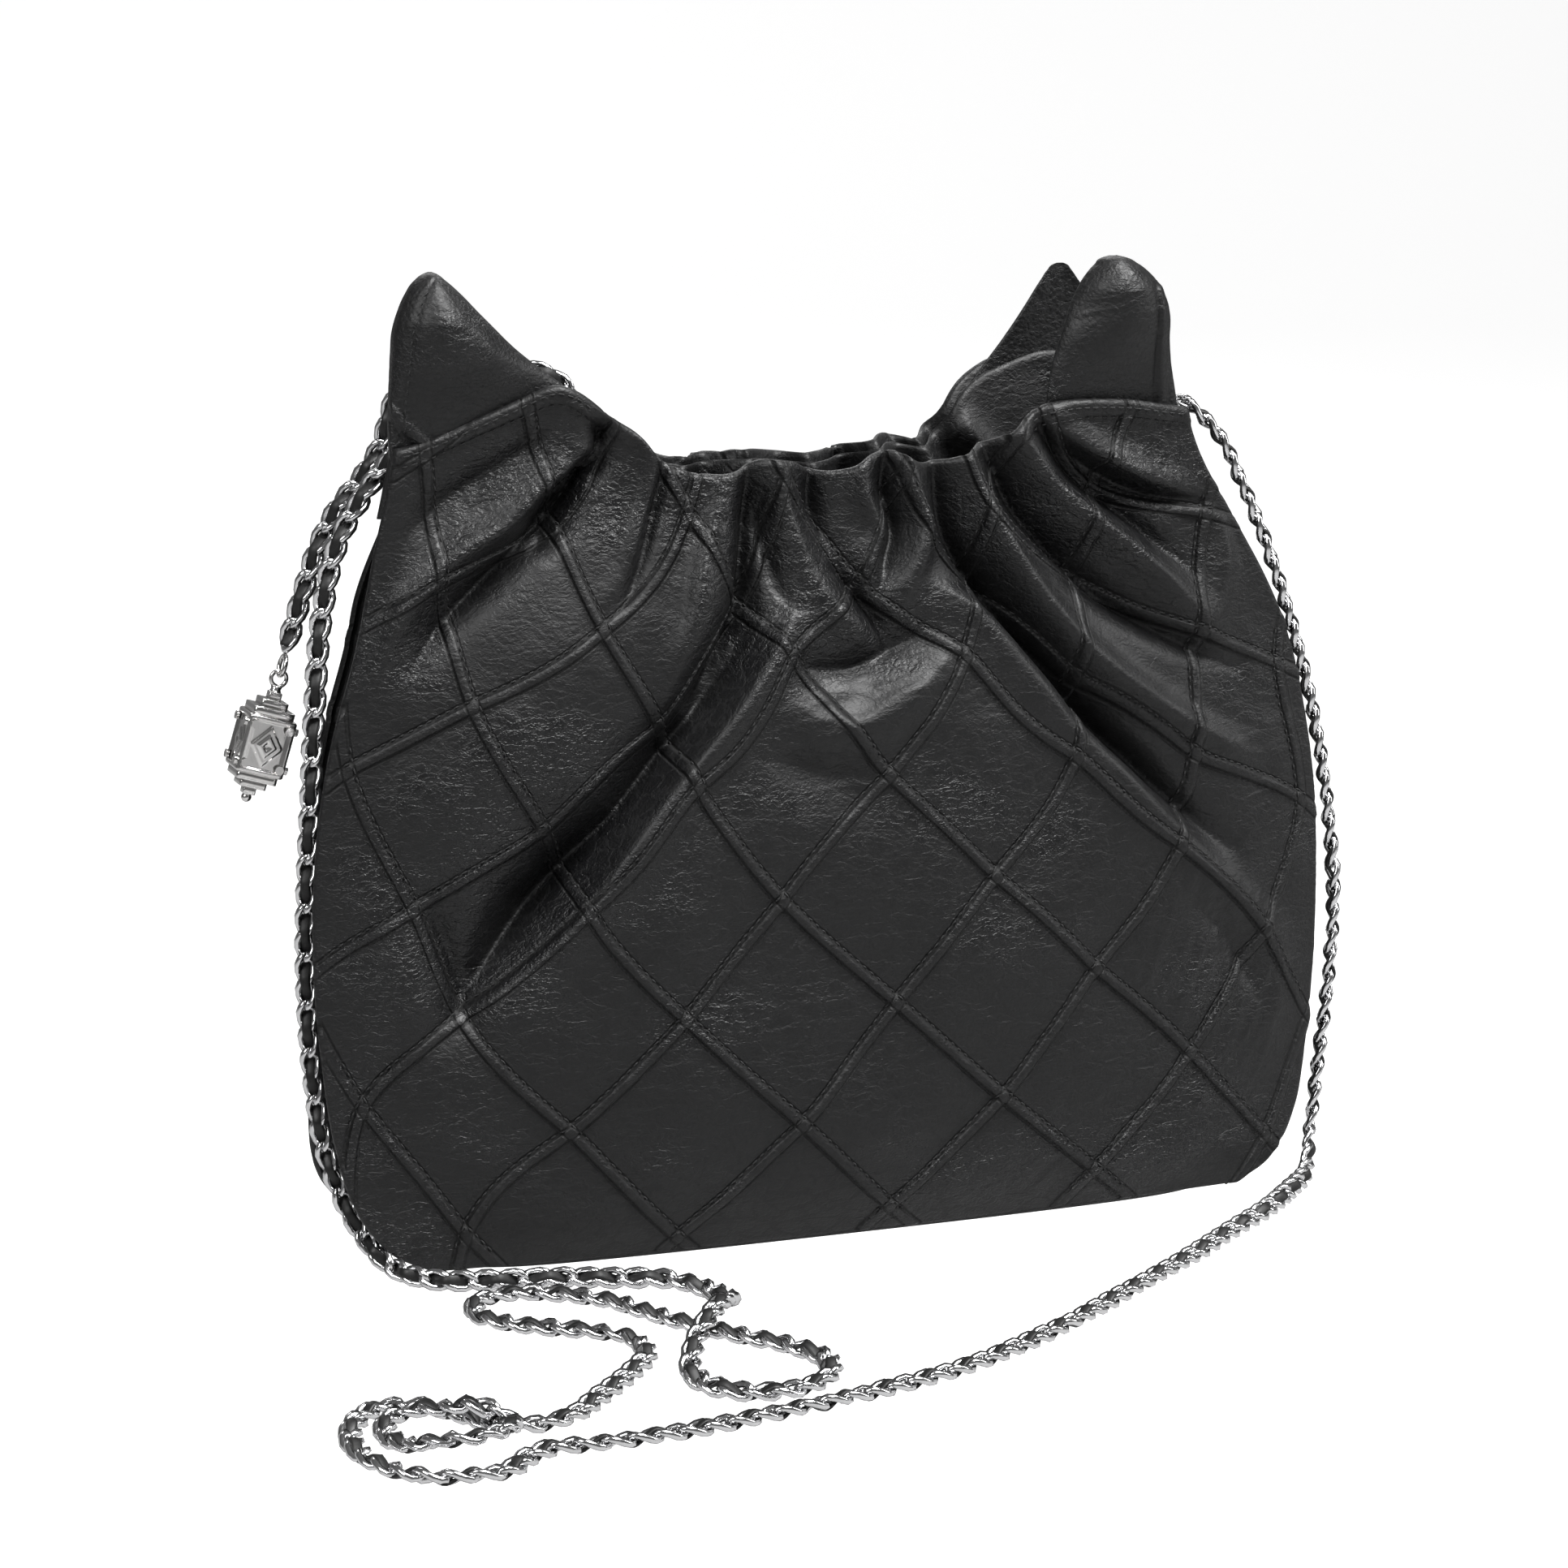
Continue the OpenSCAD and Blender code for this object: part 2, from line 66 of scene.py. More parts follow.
def smooth(table, x):
    """Cubic through the rows (place, value) of a table, each slope taken from its two neighbours."""
    t = np.asarray(table, float)
    slope = np.gradient(t[:, 1], t[:, 0])
    i = np.clip(np.searchsorted(t[:, 0], x) - 1, 0, len(t) - 2)
    step = t[i + 1, 0] - t[i, 0]
    u = np.clip((x - t[i, 0]) / step, 0, 1)
    a, b = t[i, 1], t[i + 1, 1]
    return (a + (b - a) * u * u * (3 - 2 * u)
            + step * (slope[i] * u * (1 - u) ** 2 - slope[i + 1] * u * u * (1 - u)))


def spline(points, count):
    """count points, evenly spaced, on the smooth curve whose slope at each row joins its neighbours."""
    p = np.asarray(points, float)
    far = np.concatenate([[0], np.cumsum(np.linalg.norm(np.diff(p, axis=0), axis=1))])
    t = np.linspace(0, far[-1], 48 * len(p))
    fine = np.stack([smooth(np.stack([far, p[:, k]], 1), t) for k in range(p.shape[1])], 1)
    run = np.concatenate([[0], np.cumsum(np.linalg.norm(np.diff(fine, axis=0), axis=1))])
    even = np.linspace(0, run[-1], count)
    return np.stack([np.interp(even, run, fine[:, k]) for k in range(p.shape[1])], 1), run[-1]


def noise(x, y, seed):
    """Smooth noise from -1 to 1: random numbers on a square lattice of side 1, eased in between."""
    values = np.random.default_rng(seed).uniform(-1, 1, (97, 97))
    i, j = np.floor(x).astype(int), np.floor(y).astype(int)
    u, v = ease(x - i), ease(y - j)
    i0, j0, i1, j1 = i % 97, j % 97, (i + 1) % 97, (j + 1) % 97
    return ((values[i0, j0] * (1 - u) + values[i1, j0] * u) * (1 - v)
            + (values[i0, j1] * (1 - u) + values[i1, j1] * u) * v)


print("ease, bell, smooth, spline and noise are ready")

# %% Grids and meshes
def unit(v):
    """Vectors of length 1 along the last axis."""
    return v / np.maximum(np.linalg.norm(v, axis=-1, keepdims=True), 1e-12)


def xyz(x, y, z):
    """Points from three arrays that are stretched over one grid."""
    return np.stack(np.broadcast_arrays(x, y, z), -1)


def outward(grid):
    """The normal of a grid of points: the cross product of its two directions of travel."""
    return unit(np.cross(np.gradient(grid, axis=0), np.gradient(grid, axis=1)))


def grid_faces(nu, nv, wrap_u=False, wrap_v=False):
    """Four corners of each cell of a grid of nu by nv points; a wrapped side closes on itself."""
    i = np.arange(nu if wrap_u else nu - 1)[:, None]
    j = np.arange(nv if wrap_v else nv - 1)[None, :]
    i1, j1 = (i + 1) % nu, (j + 1) % nv
    i, j, i1, j1 = np.broadcast_arrays(i, j, i1, j1)
    return np.stack([i * nv + j, i1 * nv + j, i1 * nv + j1, i * nv + j1], -1).reshape(-1, 4)


def make_mesh(name, points, faces, materials, finish=None, body="bag"):
    """A new piece from arrays of points in millimetres and faces, smooth shaded, riding on a body."""
    mesh = bpy.data.meshes.new(name)
    mesh.from_pydata((np.asarray(points, float).reshape(-1, 3) * MM).tolist(), [], [list(f) for f in faces])
    mesh.polygons.foreach_set("use_smooth", np.ones(len(mesh.polygons), bool))
    for material in materials:
        mesh.materials.append(material)
    if finish is not None:
        mesh.polygons.foreach_set("material_index", np.asarray(finish, np.int32))
    mesh.update()
    obj = bpy.data.objects.new(name, mesh)
    bpy.context.scene.collection.objects.link(obj)
    if body:
        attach(obj, body)
    return obj


def set_uv(obj, uv):
    """Gives each corner of the mesh the pair that belongs to its vertex."""
    corners = np.empty(len(obj.data.loops), np.int32)
    obj.data.loops.foreach_get("vertex_index", corners)
    layer = obj.data.uv_layers.new(name="UVMap")
    layer.data.foreach_set("uv", np.asarray(uv, np.float32).reshape(-1, 2)[corners].ravel())


def set_field(obj, name, values):
    """Keeps one number for each vertex under a name that a material can read."""
    field = obj.data.attributes.new(name, "FLOAT", "POINT")
    field.data.foreach_set("value", np.asarray(values, np.float32).ravel())


print("grid and mesh helpers are ready")

# %% [markdown]
# ## Materials
# The bag's leather is a black calfskin with a high wax finish that has been crumpled by hand. Three
# things make it read as leather: a fine pebbled grain, a net of crackled creases that catches the
# light in short strokes, and patches that are a little more or less polished. They are one node group
# with named inputs, placed in each leather with its own values.

# %% Node helpers
def new_group(name, inputs, outputs):
    """A shader node group with float or vector sockets; returns it with its input and output nodes."""
    group = bpy.data.node_groups.new(name, "ShaderNodeTree")
    for label, kind, value in inputs:
        socket = group.interface.new_socket(label, in_out="INPUT", socket_type=kind)
        if value is not None:
            socket.default_value = value
    for label, kind in outputs:
        group.interface.new_socket(label, in_out="OUTPUT", socket_type=kind)
    return group, group.nodes.new("NodeGroupInput"), group.nodes.new("NodeGroupOutput")


def math_node(tree, operation, a, b=None, clamp=False):
    """A Math node whose inputs are sockets or plain numbers; returns its output."""
    node = tree.nodes.new("ShaderNodeMath")
    node.operation, node.use_clamp = operation, clamp
    for socket, value in zip(node.inputs, (a, b)):
        if value is None:
            continue
        if isinstance(value, (int, float)):
            socket.default_value = value
        else:
            tree.links.new(value, socket)
    return node.outputs[0]


def scaled(tree, vector, scale, stretch=(1, 1, 1)):
    """The vector times a stretch along each axis and a scale that may be a socket."""
    a = tree.nodes.new("ShaderNodeVectorMath")
    a.operation = "MULTIPLY"
    a.inputs[1].default_value = stretch
    tree.links.new(vector, a.inputs[0])
    b = tree.nodes.new("ShaderNodeVectorMath")
    b.operation = "SCALE"
    tree.links.new(a.outputs[0], b.inputs[0])
    if isinstance(scale, (int, float)):
        b.inputs["Scale"].default_value = scale
    else:
        tree.links.new(scale, b.inputs["Scale"])
    return b.outputs[0]


def smooth_step(tree, value, low, high, out_low=0.0, out_high=1.0):
    """A Map Range node with smooth ends."""
    node = tree.nodes.new("ShaderNodeMapRange")
    node.interpolation_type = "SMOOTHSTEP"
    for label, number in (("From Min", low), ("From Max", high), ("To Min", out_low), ("To Max", out_high)):
        node.inputs[label].default_value = number
    tree.links.new(value, node.inputs["Value"])
    return node.outputs["Result"]


def texture(tree, kind, vector, **values):
    """A texture node at a vector, with its named inputs set."""
    node = tree.nodes.new(kind)
    for label, number in values.items():
        node.inputs[label].default_value = number
    if vector is not None:
        tree.links.new(vector, node.inputs["Vector"])
    return node


print("node helpers are ready")

# %% The leather grain group
leather_grain, grain_in, grain_out = new_group(
    "leather_grain",
    [("Vector", "NodeSocketVector", None), ("Pore Scale", "NodeSocketFloat", 900.0),
     ("Crease Scale", "NodeSocketFloat", 190.0), ("Crease Depth", "NodeSocketFloat", 1.0),
     ("Pore Depth", "NodeSocketFloat", 0.35)],
    [("Height", "NodeSocketFloat"), ("Polish", "NodeSocketFloat"), ("Crackle", "NodeSocketFloat")],
)
lg = leather_grain
crease_at = scaled(lg, grain_in.outputs["Vector"], grain_in.outputs["Crease Scale"], (0.75, 1, 1.35))
bend = texture(lg, "ShaderNodeTexNoise", crease_at, Scale=0.9, Detail=4.0, Roughness=0.6)
push = lg.nodes.new("ShaderNodeVectorMath")
push.operation = "MULTIPLY_ADD"
lg.links.new(bend.outputs["Color"], push.inputs[0])
push.inputs[1].default_value = (1.5, 1.5, 1.5)
lg.links.new(crease_at, push.inputs[2])
net = texture(lg, "ShaderNodeTexVoronoi", push.outputs[0], Scale=1.0)
net.feature = "DISTANCE_TO_EDGE"
small_net = texture(lg, "ShaderNodeTexVoronoi", push.outputs[0], Scale=3.1)
small_net.feature = "DISTANCE_TO_EDGE"
big_crease = smooth_step(lg, net.outputs["Distance"], 0.0, 0.16)
small_crease = smooth_step(lg, small_net.outputs["Distance"], 0.0, 0.22)
pore_at = scaled(lg, grain_in.outputs["Vector"], grain_in.outputs["Pore Scale"])
pores = texture(lg, "ShaderNodeTexVoronoi", pore_at, Scale=1.0)
pore_height = smooth_step(lg, pores.outputs["Distance"], 0.1, 0.75, 1.0, 0.0)
where_worn = texture(lg, "ShaderNodeTexNoise", crease_at, Scale=0.13, Detail=3.0, Roughness=0.55)
worn = smooth_step(lg, where_worn.outputs["Fac"], 0.46, 0.68)
creases = math_node(lg, "ADD", math_node(lg, "MULTIPLY", big_crease, 0.6),
                    math_node(lg, "MULTIPLY", small_crease, 0.4))
deep = math_node(lg, "MULTIPLY", creases, math_node(lg, "ADD", math_node(lg, "MULTIPLY", worn, 0.55), 0.3))
deep = math_node(lg, "MULTIPLY", deep, grain_in.outputs["Crease Depth"])
fine = math_node(lg, "MULTIPLY", pore_height, grain_in.outputs["Pore Depth"])
lg.links.new(math_node(lg, "ADD", deep, fine), grain_out.inputs["Height"])
lg.links.new(worn, grain_out.inputs["Polish"])
lg.links.new(math_node(lg, "SUBTRACT", 1.0, big_crease), grain_out.inputs["Crackle"])
print("leather_grain:", len(lg.nodes), "nodes")

# %% Leather materials
def leather(name, colour, rough, crease_depth=1.0, pore_depth=0.14, crease_scale=190.0, pore_scale=900.0,
            bump=0.0003, coat=0.1):
    """A waxed leather: dark base, roughness that drifts between polished and dull, and grain as bump."""
    material = bpy.data.materials.new(name)
    material.use_nodes = True
    tree = material.node_tree
    bsdf = tree.nodes["Principled BSDF"]
    coords = tree.nodes.new("ShaderNodeTexCoord")
    group = tree.nodes.new("ShaderNodeGroup")
    group.node_tree = leather_grain
    for label, number in (("Pore Scale", pore_scale), ("Crease Scale", crease_scale),
                          ("Crease Depth", crease_depth), ("Pore Depth", pore_depth)):
        group.inputs[label].default_value = number
    tree.links.new(coords.outputs["Object"], group.inputs["Vector"])
    ramp = tree.nodes.new("ShaderNodeMix")
    ramp.data_type = "RGBA"
    ramp.inputs["A"].default_value = (*[c * 0.8 for c in colour], 1)
    ramp.inputs["B"].default_value = (*[min(1, c * 1.5) for c in colour], 1)
    tree.links.new(group.outputs["Polish"], ramp.inputs["Factor"])
    tree.links.new(ramp.outputs["Result"], bsdf.inputs["Base Color"])
    rough_out = smooth_step(tree, group.outputs["Polish"], 0.0, 1.0, rough + 0.10, rough - 0.08)
    crack = math_node(tree, "MULTIPLY", group.outputs["Crackle"], 0.10)
    tree.links.new(math_node(tree, "ADD", rough_out, crack), bsdf.inputs["Roughness"])
    lift = tree.nodes.new("ShaderNodeBump")
    lift.inputs["Distance"].default_value = bump
    lift.inputs["Strength"].default_value = 1.0
    tree.links.new(group.outputs["Height"], lift.inputs["Height"])
    tree.links.new(lift.outputs["Normal"], bsdf.inputs["Normal"])
    bsdf.inputs["Coat Weight"].default_value = coat
    bsdf.inputs["Coat Roughness"].default_value = 0.32
    bsdf.inputs["Specular IOR Level"].default_value = 0.42
    return material


black_leather = leather("black_calfskin", (0.004, 0.004, 0.0043), 0.40)
ear_leather = leather("ear_calfskin", (0.004, 0.004, 0.0043), 0.37, crease_depth=0.7, pore_depth=0.3,
                      crease_scale=330.0, bump=0.00026)
ribbon_leather = leather("ribbon_leather", (0.006, 0.006, 0.006), 0.45, crease_depth=0.2, bump=0.00008)


def metal(name, colour, rough, streak=0.0):
    """A plated metal: almost a mirror, with a faint cloud of fine scratches in its roughness."""
    material = bpy.data.materials.new(name)
    material.use_nodes = True
    tree = material.node_tree
    bsdf = tree.nodes["Principled BSDF"]
    coords = tree.nodes.new("ShaderNodeTexCoord")
    cloud = texture(tree, "ShaderNodeTexNoise", scaled(tree, coords.outputs["Object"], 420.0, (1, 1, 0.2)),
                    Scale=1.0, Detail=5.0, Roughness=0.7)
    tree.links.new(smooth_step(tree, cloud.outputs["Fac"], 0.3, 0.75, rough, rough + 0.12 + streak),
                   bsdf.inputs["Roughness"])
    tint = tree.nodes.new("ShaderNodeMix")
    tint.data_type = "RGBA"
    tint.inputs["A"].default_value = (*colour, 1)
    tint.inputs["B"].default_value = (*[c * 0.86 for c in colour], 1)
    tree.links.new(cloud.outputs["Fac"], tint.inputs["Factor"])
    tree.links.new(tint.outputs["Result"], bsdf.inputs["Base Color"])
    bsdf.inputs["Metallic"].default_value = 1.0
    return material


chain_metal = metal("chain_silver", (0.80, 0.80, 0.81), 0.10)
charm_metal = metal("charm_silver", (0.82, 0.81, 0.80), 0.12)
fitting_metal = metal("fitting_steel", (0.60, 0.60, 0.61), 0.25)
print("leathers and metals made")


def cloth(name, colour, pitch, rough=0.85, sheen=0.2):
    """A woven cloth: two crossing waves of thread, painted darker between the threads as painted shade, with
    a little sheen.
    """
    material = bpy.data.materials.new(name)
    material.use_nodes = True
    tree = material.node_tree
    bsdf = tree.nodes["Principled BSDF"]
    coords = tree.nodes.new("ShaderNodeTexCoord")
    split = tree.nodes.new("ShaderNodeSeparateXYZ")
    tree.links.new(scaled(tree, coords.outputs["Object"], 6.283 / pitch), split.inputs[0])
    level = math_node(tree, "ADD", split.outputs["X"], split.outputs["Y"])
    across = math_node(tree, "ABSOLUTE", math_node(tree, "SINE", level))
    along = math_node(tree, "ABSOLUTE", math_node(tree, "SINE", split.outputs["Z"]))
    weave = math_node(tree, "MULTIPLY", math_node(tree, "ADD", across, along), 0.5)
    # painted shade: the colour falls to 0.45 of itself in the gaps between the threads
    mix = tree.nodes.new("ShaderNodeMix")
    mix.data_type = "RGBA"
    mix.inputs["A"].default_value = (*[c * 0.45 for c in colour], 1)
    mix.inputs["B"].default_value = (*colour, 1)
    tree.links.new(weave, mix.inputs["Factor"])
    tree.links.new(mix.outputs["Result"], bsdf.inputs["Base Color"])
    lift = tree.nodes.new("ShaderNodeBump")
    lift.inputs["Distance"].default_value = pitch * 0.2
    tree.links.new(weave, lift.inputs["Height"])
    tree.links.new(lift.outputs["Normal"], bsdf.inputs["Normal"])
    bsdf.inputs["Roughness"].default_value = rough
    bsdf.inputs["Sheen Weight"].default_value = sheen
    return material


lining_cloth = cloth("lining_grosgrain", (0.035, 0.034, 0.036), 0.0008)
tape_cloth = cloth("zip_tape_cloth", (0.012, 0.012, 0.012), 0.0006)
webbing = cloth("elastic_webbing", (0.03, 0.03, 0.03), 0.0011)
board_pulp = cloth("board_pulp", (0.25, 0.2, 0.14), 0.002, 0.9, 0.0)
thread = cloth("sewing_thread", (0.007, 0.007, 0.0075), 0.0003, 0.5, 0.1)
print("cloths made")

# %% [markdown]
# The quilted panels need one effect more. The tucks are in the mesh, but the fine line of the sewn
# groove and the sharp crease on a tuck's other side are narrower than a mesh cell. A second group
# works them out from the panel's own lattice counts: the distance from a whole number, times the
# millimetres that one count covers there. Along both lines the leather's colour is painted near black,
# a painted shade, and its roughness is raised.

# %% The tuck group and the quilted leather
pin_tucks, tuck_in, tuck_out = new_group(
    "pin_tucks",
    [("Counts", "NodeSocketVector", None), ("Step Up", "NodeSocketFloat", 37.0),
     ("Step Down", "NodeSocketFloat", 37.0)],
    [("Height", "NodeSocketFloat"), ("Groove", "NodeSocketFloat"), ("Crest", "NodeSocketFloat")],
)
pt = pin_tucks
pair = pt.nodes.new("ShaderNodeSeparateXYZ")
pt.links.new(tuck_in.outputs["Counts"], pair.inputs[0])
lines, crests = [], []
for count, step, side in ((pair.outputs["X"], tuck_in.outputs["Step Up"], 1.0),
                          (pair.outputs["Y"], tuck_in.outputs["Step Down"], -1.0)):
    off = math_node(pt, "SUBTRACT", math_node(pt, "FRACT", math_node(pt, "ADD", count, 0.5)), 0.5)
    mm = math_node(pt, "MULTIPLY", math_node(pt, "MULTIPLY", off, step), side)
    sewn = smooth_step(pt, math_node(pt, "ABSOLUTE", math_node(pt, "SUBTRACT", mm, 1.6)), 0.0, 0.6, 1.0, 0.0)
    crease = smooth_step(pt, math_node(pt, "ABSOLUTE", math_node(pt, "ADD", mm, 1.45)), 0.0, 0.5, 0.7, 0.0)
    lines.append(math_node(pt, "MAXIMUM", sewn, crease))
    crests.append(smooth_step(pt, math_node(pt, "ABSOLUTE", mm), 0.8, 1.35, 1.0, 0.0))
# the groove mask below is where the quilted leather gets its painted shade
groove = math_node(pt, "MAXIMUM", *lines)
crest = math_node(pt, "MAXIMUM", *crests)
pt.links.new(groove, tuck_out.inputs["Groove"])
pt.links.new(crest, tuck_out.inputs["Crest"])
pt.links.new(math_node(pt, "SUBTRACT", crest, groove), tuck_out.inputs["Height"])


def quilted(name, colour, rough):
    """The waxed leather with the tuck lines under its grain, so that both bend the light. The groove lines
    are also painted near black in the base colour, a painted shade, and made rougher.
    """
    material = leather(name, colour, rough)
    tree = material.node_tree
    bsdf = tree.nodes["Principled BSDF"]
    grain_bump = bsdf.inputs["Normal"].links[0].from_node
    group = tree.nodes.new("ShaderNodeGroup")
    group.node_tree = pin_tucks
    coords = tree.nodes.new("ShaderNodeTexCoord")
    tree.links.new(coords.outputs["UV"], group.inputs["Counts"])
    for label, field in (("Step Up", "step_up"), ("Step Down", "step_down")):
        reader = tree.nodes.new("ShaderNodeAttribute")
        reader.attribute_name = field
        tree.links.new(reader.outputs["Fac"], group.inputs[label])
    lift = tree.nodes.new("ShaderNodeBump")
    lift.inputs["Distance"].default_value = 0.0004
    tree.links.new(group.outputs["Height"], lift.inputs["Height"])
    tree.links.new(lift.outputs["Normal"], grain_bump.inputs["Normal"])
    base = bsdf.inputs["Base Color"].links[0].from_socket
    # painted shade: the base colour is mixed to near black along the sewn groove and the crease of each tuck
    shade = tree.nodes.new("ShaderNodeMix")
    shade.data_type = "RGBA"
    shade.inputs["B"].default_value = (0.001, 0.001, 0.001, 1)
    tree.links.new(group.outputs["Groove"], shade.inputs["Factor"])
    tree.links.new(base, shade.inputs["A"])
    tree.links.new(shade.outputs["Result"], bsdf.inputs["Base Color"])
    rough_in = bsdf.inputs["Roughness"].links[0].from_socket
    dull = math_node(tree, "ADD", rough_in, math_node(tree, "MULTIPLY", group.outputs["Groove"], 0.35), True)
    tree.links.new(dull, bsdf.inputs["Roughness"])
    return material


quilt_leather = quilted("quilted_calfskin", (0.004, 0.004, 0.0043), 0.40)
print("pin_tucks:", len(pt.nodes), "nodes")

# %% [markdown]
# ## Camera, light and floor
# The camera stands a little to the bag's left and above it, far off with a long lens, so that upright
# lines stay upright. The light is a soft studio: a large panel overhead and a little in front, weaker
# ones at the left and right, a strip behind, and a dim even surround.

# %% Camera
camera_data = bpy.data.cameras.new("camera")
camera_data.lens = 100.75
camera_data.sensor_width = 36
camera = bpy.data.objects.new("camera", camera_data)
camera.location = (-0.3681, -0.9638, 0.3143)
aim = Vector((-0.00775, 0.0, 0.105)) - camera.location
camera.rotation_euler = aim.to_track_quat("-Z", "Y").to_euler()
bpy.context.scene.collection.objects.link(camera)
bpy.context.scene.camera = camera
print("camera", round(aim.length, 3), "m from the bag")

# %% Light
def soft_light(name, at, look, size, power, tint=(1, 1, 1)):
    """A rectangular area light that faces a point."""
    data = bpy.data.lights.new(name, "AREA")
    data.shape, data.size, data.size_y = "RECTANGLE", size[0], size[1]
    data.energy, data.color = power, tint
    light = bpy.data.objects.new(name, data)
    light.location = at
    light.rotation_euler = (Vector(look) - Vector(at)).to_track_quat("-Z", "Y").to_euler()
    bpy.context.scene.collection.objects.link(light)
    return light


soft_light("overhead", (0.25, -0.45, 1.15), (0, 0, 0.12), (0.8, 0.6), 26)
soft_light("key_left", (-1.0, -0.55, 0.95), (0, 0, 0.1), (0.5, 0.7), 8)
soft_light("strip_right", (1.15, -0.35, 0.6), (0, 0, 0.1), (0.3, 0.9), 4)
soft_light("strip_back", (0.2, 0.95, 0.9), (0, 0, 0.15), (1.0, 0.3), 5)
world = bpy.data.worlds.new("studio")
world.use_nodes = True
world.node_tree.nodes["Background"].inputs["Color"].default_value = (1, 1, 1, 1)
world.node_tree.nodes["Background"].inputs["Strength"].default_value = 0.13
bpy.context.scene.world = world
bpy.context.scene.view_settings.view_transform = "Standard"
print("four soft lights")

# %% Floor
paper = bpy.data.materials.new("floor_paper")
paper.use_nodes = True
paper_bsdf = paper.node_tree.nodes["Principled BSDF"]
paper_bsdf.inputs["Base Color"].default_value = (0.42, 0.42, 0.42, 1)
paper_bsdf.inputs["Roughness"].default_value = 0.9
paper_bsdf.inputs["Emission Color"].default_value = (1, 1, 1, 1)
ray = paper.node_tree.nodes.new("ShaderNodeLightPath")
paper.node_tree.links.new(math_node(paper.node_tree, "MULTIPLY", ray.outputs["Is Camera Ray"], 0.8),
                          paper_bsdf.inputs["Emission Strength"])
sweep = [(-3, 0), (1.2, 0), (1.7, 0.12), (2.1, 0.5), (2.25, 1.1), (2.3, 3)]
sweep_line, _ = spline(sweep, 60)
floor_x = np.linspace(-3, 3, 3)
floor_points = xyz(floor_x[:, None], sweep_line[None, :, 0], sweep_line[None, :, 1])
floor = make_mesh("floor", floor_points / MM - np.array([0, 0, 0.05]), grid_faces(3, 60), [paper], body=None)
print("floor sweep with", len(floor.data.polygons), "faces")

# %% [markdown]
# ## The woven chain
# The strap is a curb chain: oval links of round wire, each twisted so that its two ends stand square
# to each other. That is what lets every link lie flat in its neighbours. A narrow leather ribbon runs
# through the whole length, over one crossing of two links and under the next. One link is worked out
# as a closed grid and copied along the route by whole-array arithmetic.

# %% Routes of the strap and the tail
chain_wide = 5.6
lie = chain_wide / 2 + 0.1
right_route = [
    (80, -8, 174), (80, -8, 184), (82.5, -8, 191), (90, -9, 194), (98, -10, 188.5),
    (108, -11, 171), (115, -12, 154), (122, -12, 134), (128, -12, 112), (132, -12, 90),
    (134, -12, 68), (133, -12, 46), (130, -13, 24), (127, -16, 9), (121, -26, lie),
    (111, -38, lie), (98, -51, lie), (82, -64, lie), (64, -79, lie), (44, -94, lie),
    (24, -109, lie), (3, -123, lie), (-18, -134, lie), (-40, -141, lie), (-62, -146, lie),
    (-84, -150, lie), (-102, -151, lie), (-116.8, -151, lie),
]
coil_route = [
    (-121, -154, lie), (-126, -159, lie), (-133, -160, lie), (-140, -158.5, lie), (-146, -154, lie),
    (-150, -147, lie), (-152, -139, lie), (-151.5, -130, lie), (-148, -121, lie), (-142, -115, lie),
    (-135, -115, lie), (-129, -120, lie), (-124.5, -127, lie), (-121.5, -135, lie + 0.5),
    (-121, -143, lie + 3.5), (-124, -150, lie + 5.5), (-130, -153.5, lie + 5.6), (-137, -151, lie + 5),
    (-142, -145, lie + 2.5), (-144, -138, lie + 1), (-144.5, -131, lie + 1), (-141, -124, lie + 1),
    (-135, -122, lie + 1.5), (-131, -126, lie + 2.5), (-127, -131, lie + 4.5), (-122, -133.5, lie + 3.5),
]
left_route = [
    (-116.8, -134, lie), (-107, -134, lie), (-95, -123, lie), (-85, -112, lie), (-77, -100, lie),
    (-78, -88, lie), (-87, -80, lie), (-97, -73, lie), (-104, -63, lie), (-101, -53, lie),
    (-91, -51, lie), (-81, -56, lie), (-73, -64, lie), (-67, -76, lie), (-60, -88, lie),
    (-53, -98, lie), (-46, -107, lie), (-42, -118, lie), (-46, -129, lie), (-57, -134, lie),
    (-68, -130, lie), (-73, -119, lie + 0.5), (-69, -108, lie + 3), (-61, -97, lie + 6.1),
    (-54, -86, lie + 5), (-49, -75, lie + 1), (-50, -63, lie), (-56, -53, lie), (-67, -48, lie),
    (-80, -43, lie), (-94, -40, lie), (-107, -34, lie), (-114, -22, lie + 1), (-119, -12, 12),
    (-124, -9, 26), (-127, -8, 46), (-128, -8, 68), (-127.5, -8, 90), (-126, -8, 112),
    (-124.5, -8, 134), (-122.5, -8, 154), (-118, -8, 171), (-111.5, -8, 181.5), (-103.5, -8, 189.5),
    (-97, -8, 188), (-95.5, -8, 181), (-95.5, -8, 174),
]
tail_route = [
    (-57, 7, 184), (-57, 7, 194), (-60, 7, 202), (-68, 7, 206), (-80, 6, 207), (-91, 5, 207),
    (-99, 5, 204), (-102, 5, 198), (-104, 5, 191), (-109, 5, 183), (-115, 5, 176), (-119.5, 5, 168),
    (-122.5, 5, 160), (-125.5, 5, 151), (-127.6, 5, 144.6),
]
strap_route = right_route + coil_route + left_route
strap_line, strap_length = spline(strap_route, 1400)
tail_line, tail_length = spline(tail_route, 160)
print("strap", round(strap_length), "mm, tail", round(tail_length), "mm")

# %% One link and the ribbon's section
link_pitch, wire = 5.7, 1.7
link_twist = np.radians(52)
ribbon_rise, ribbon_half, ribbon_thin, ribbon_sides = 1.35, 1.25, 0.5, 8


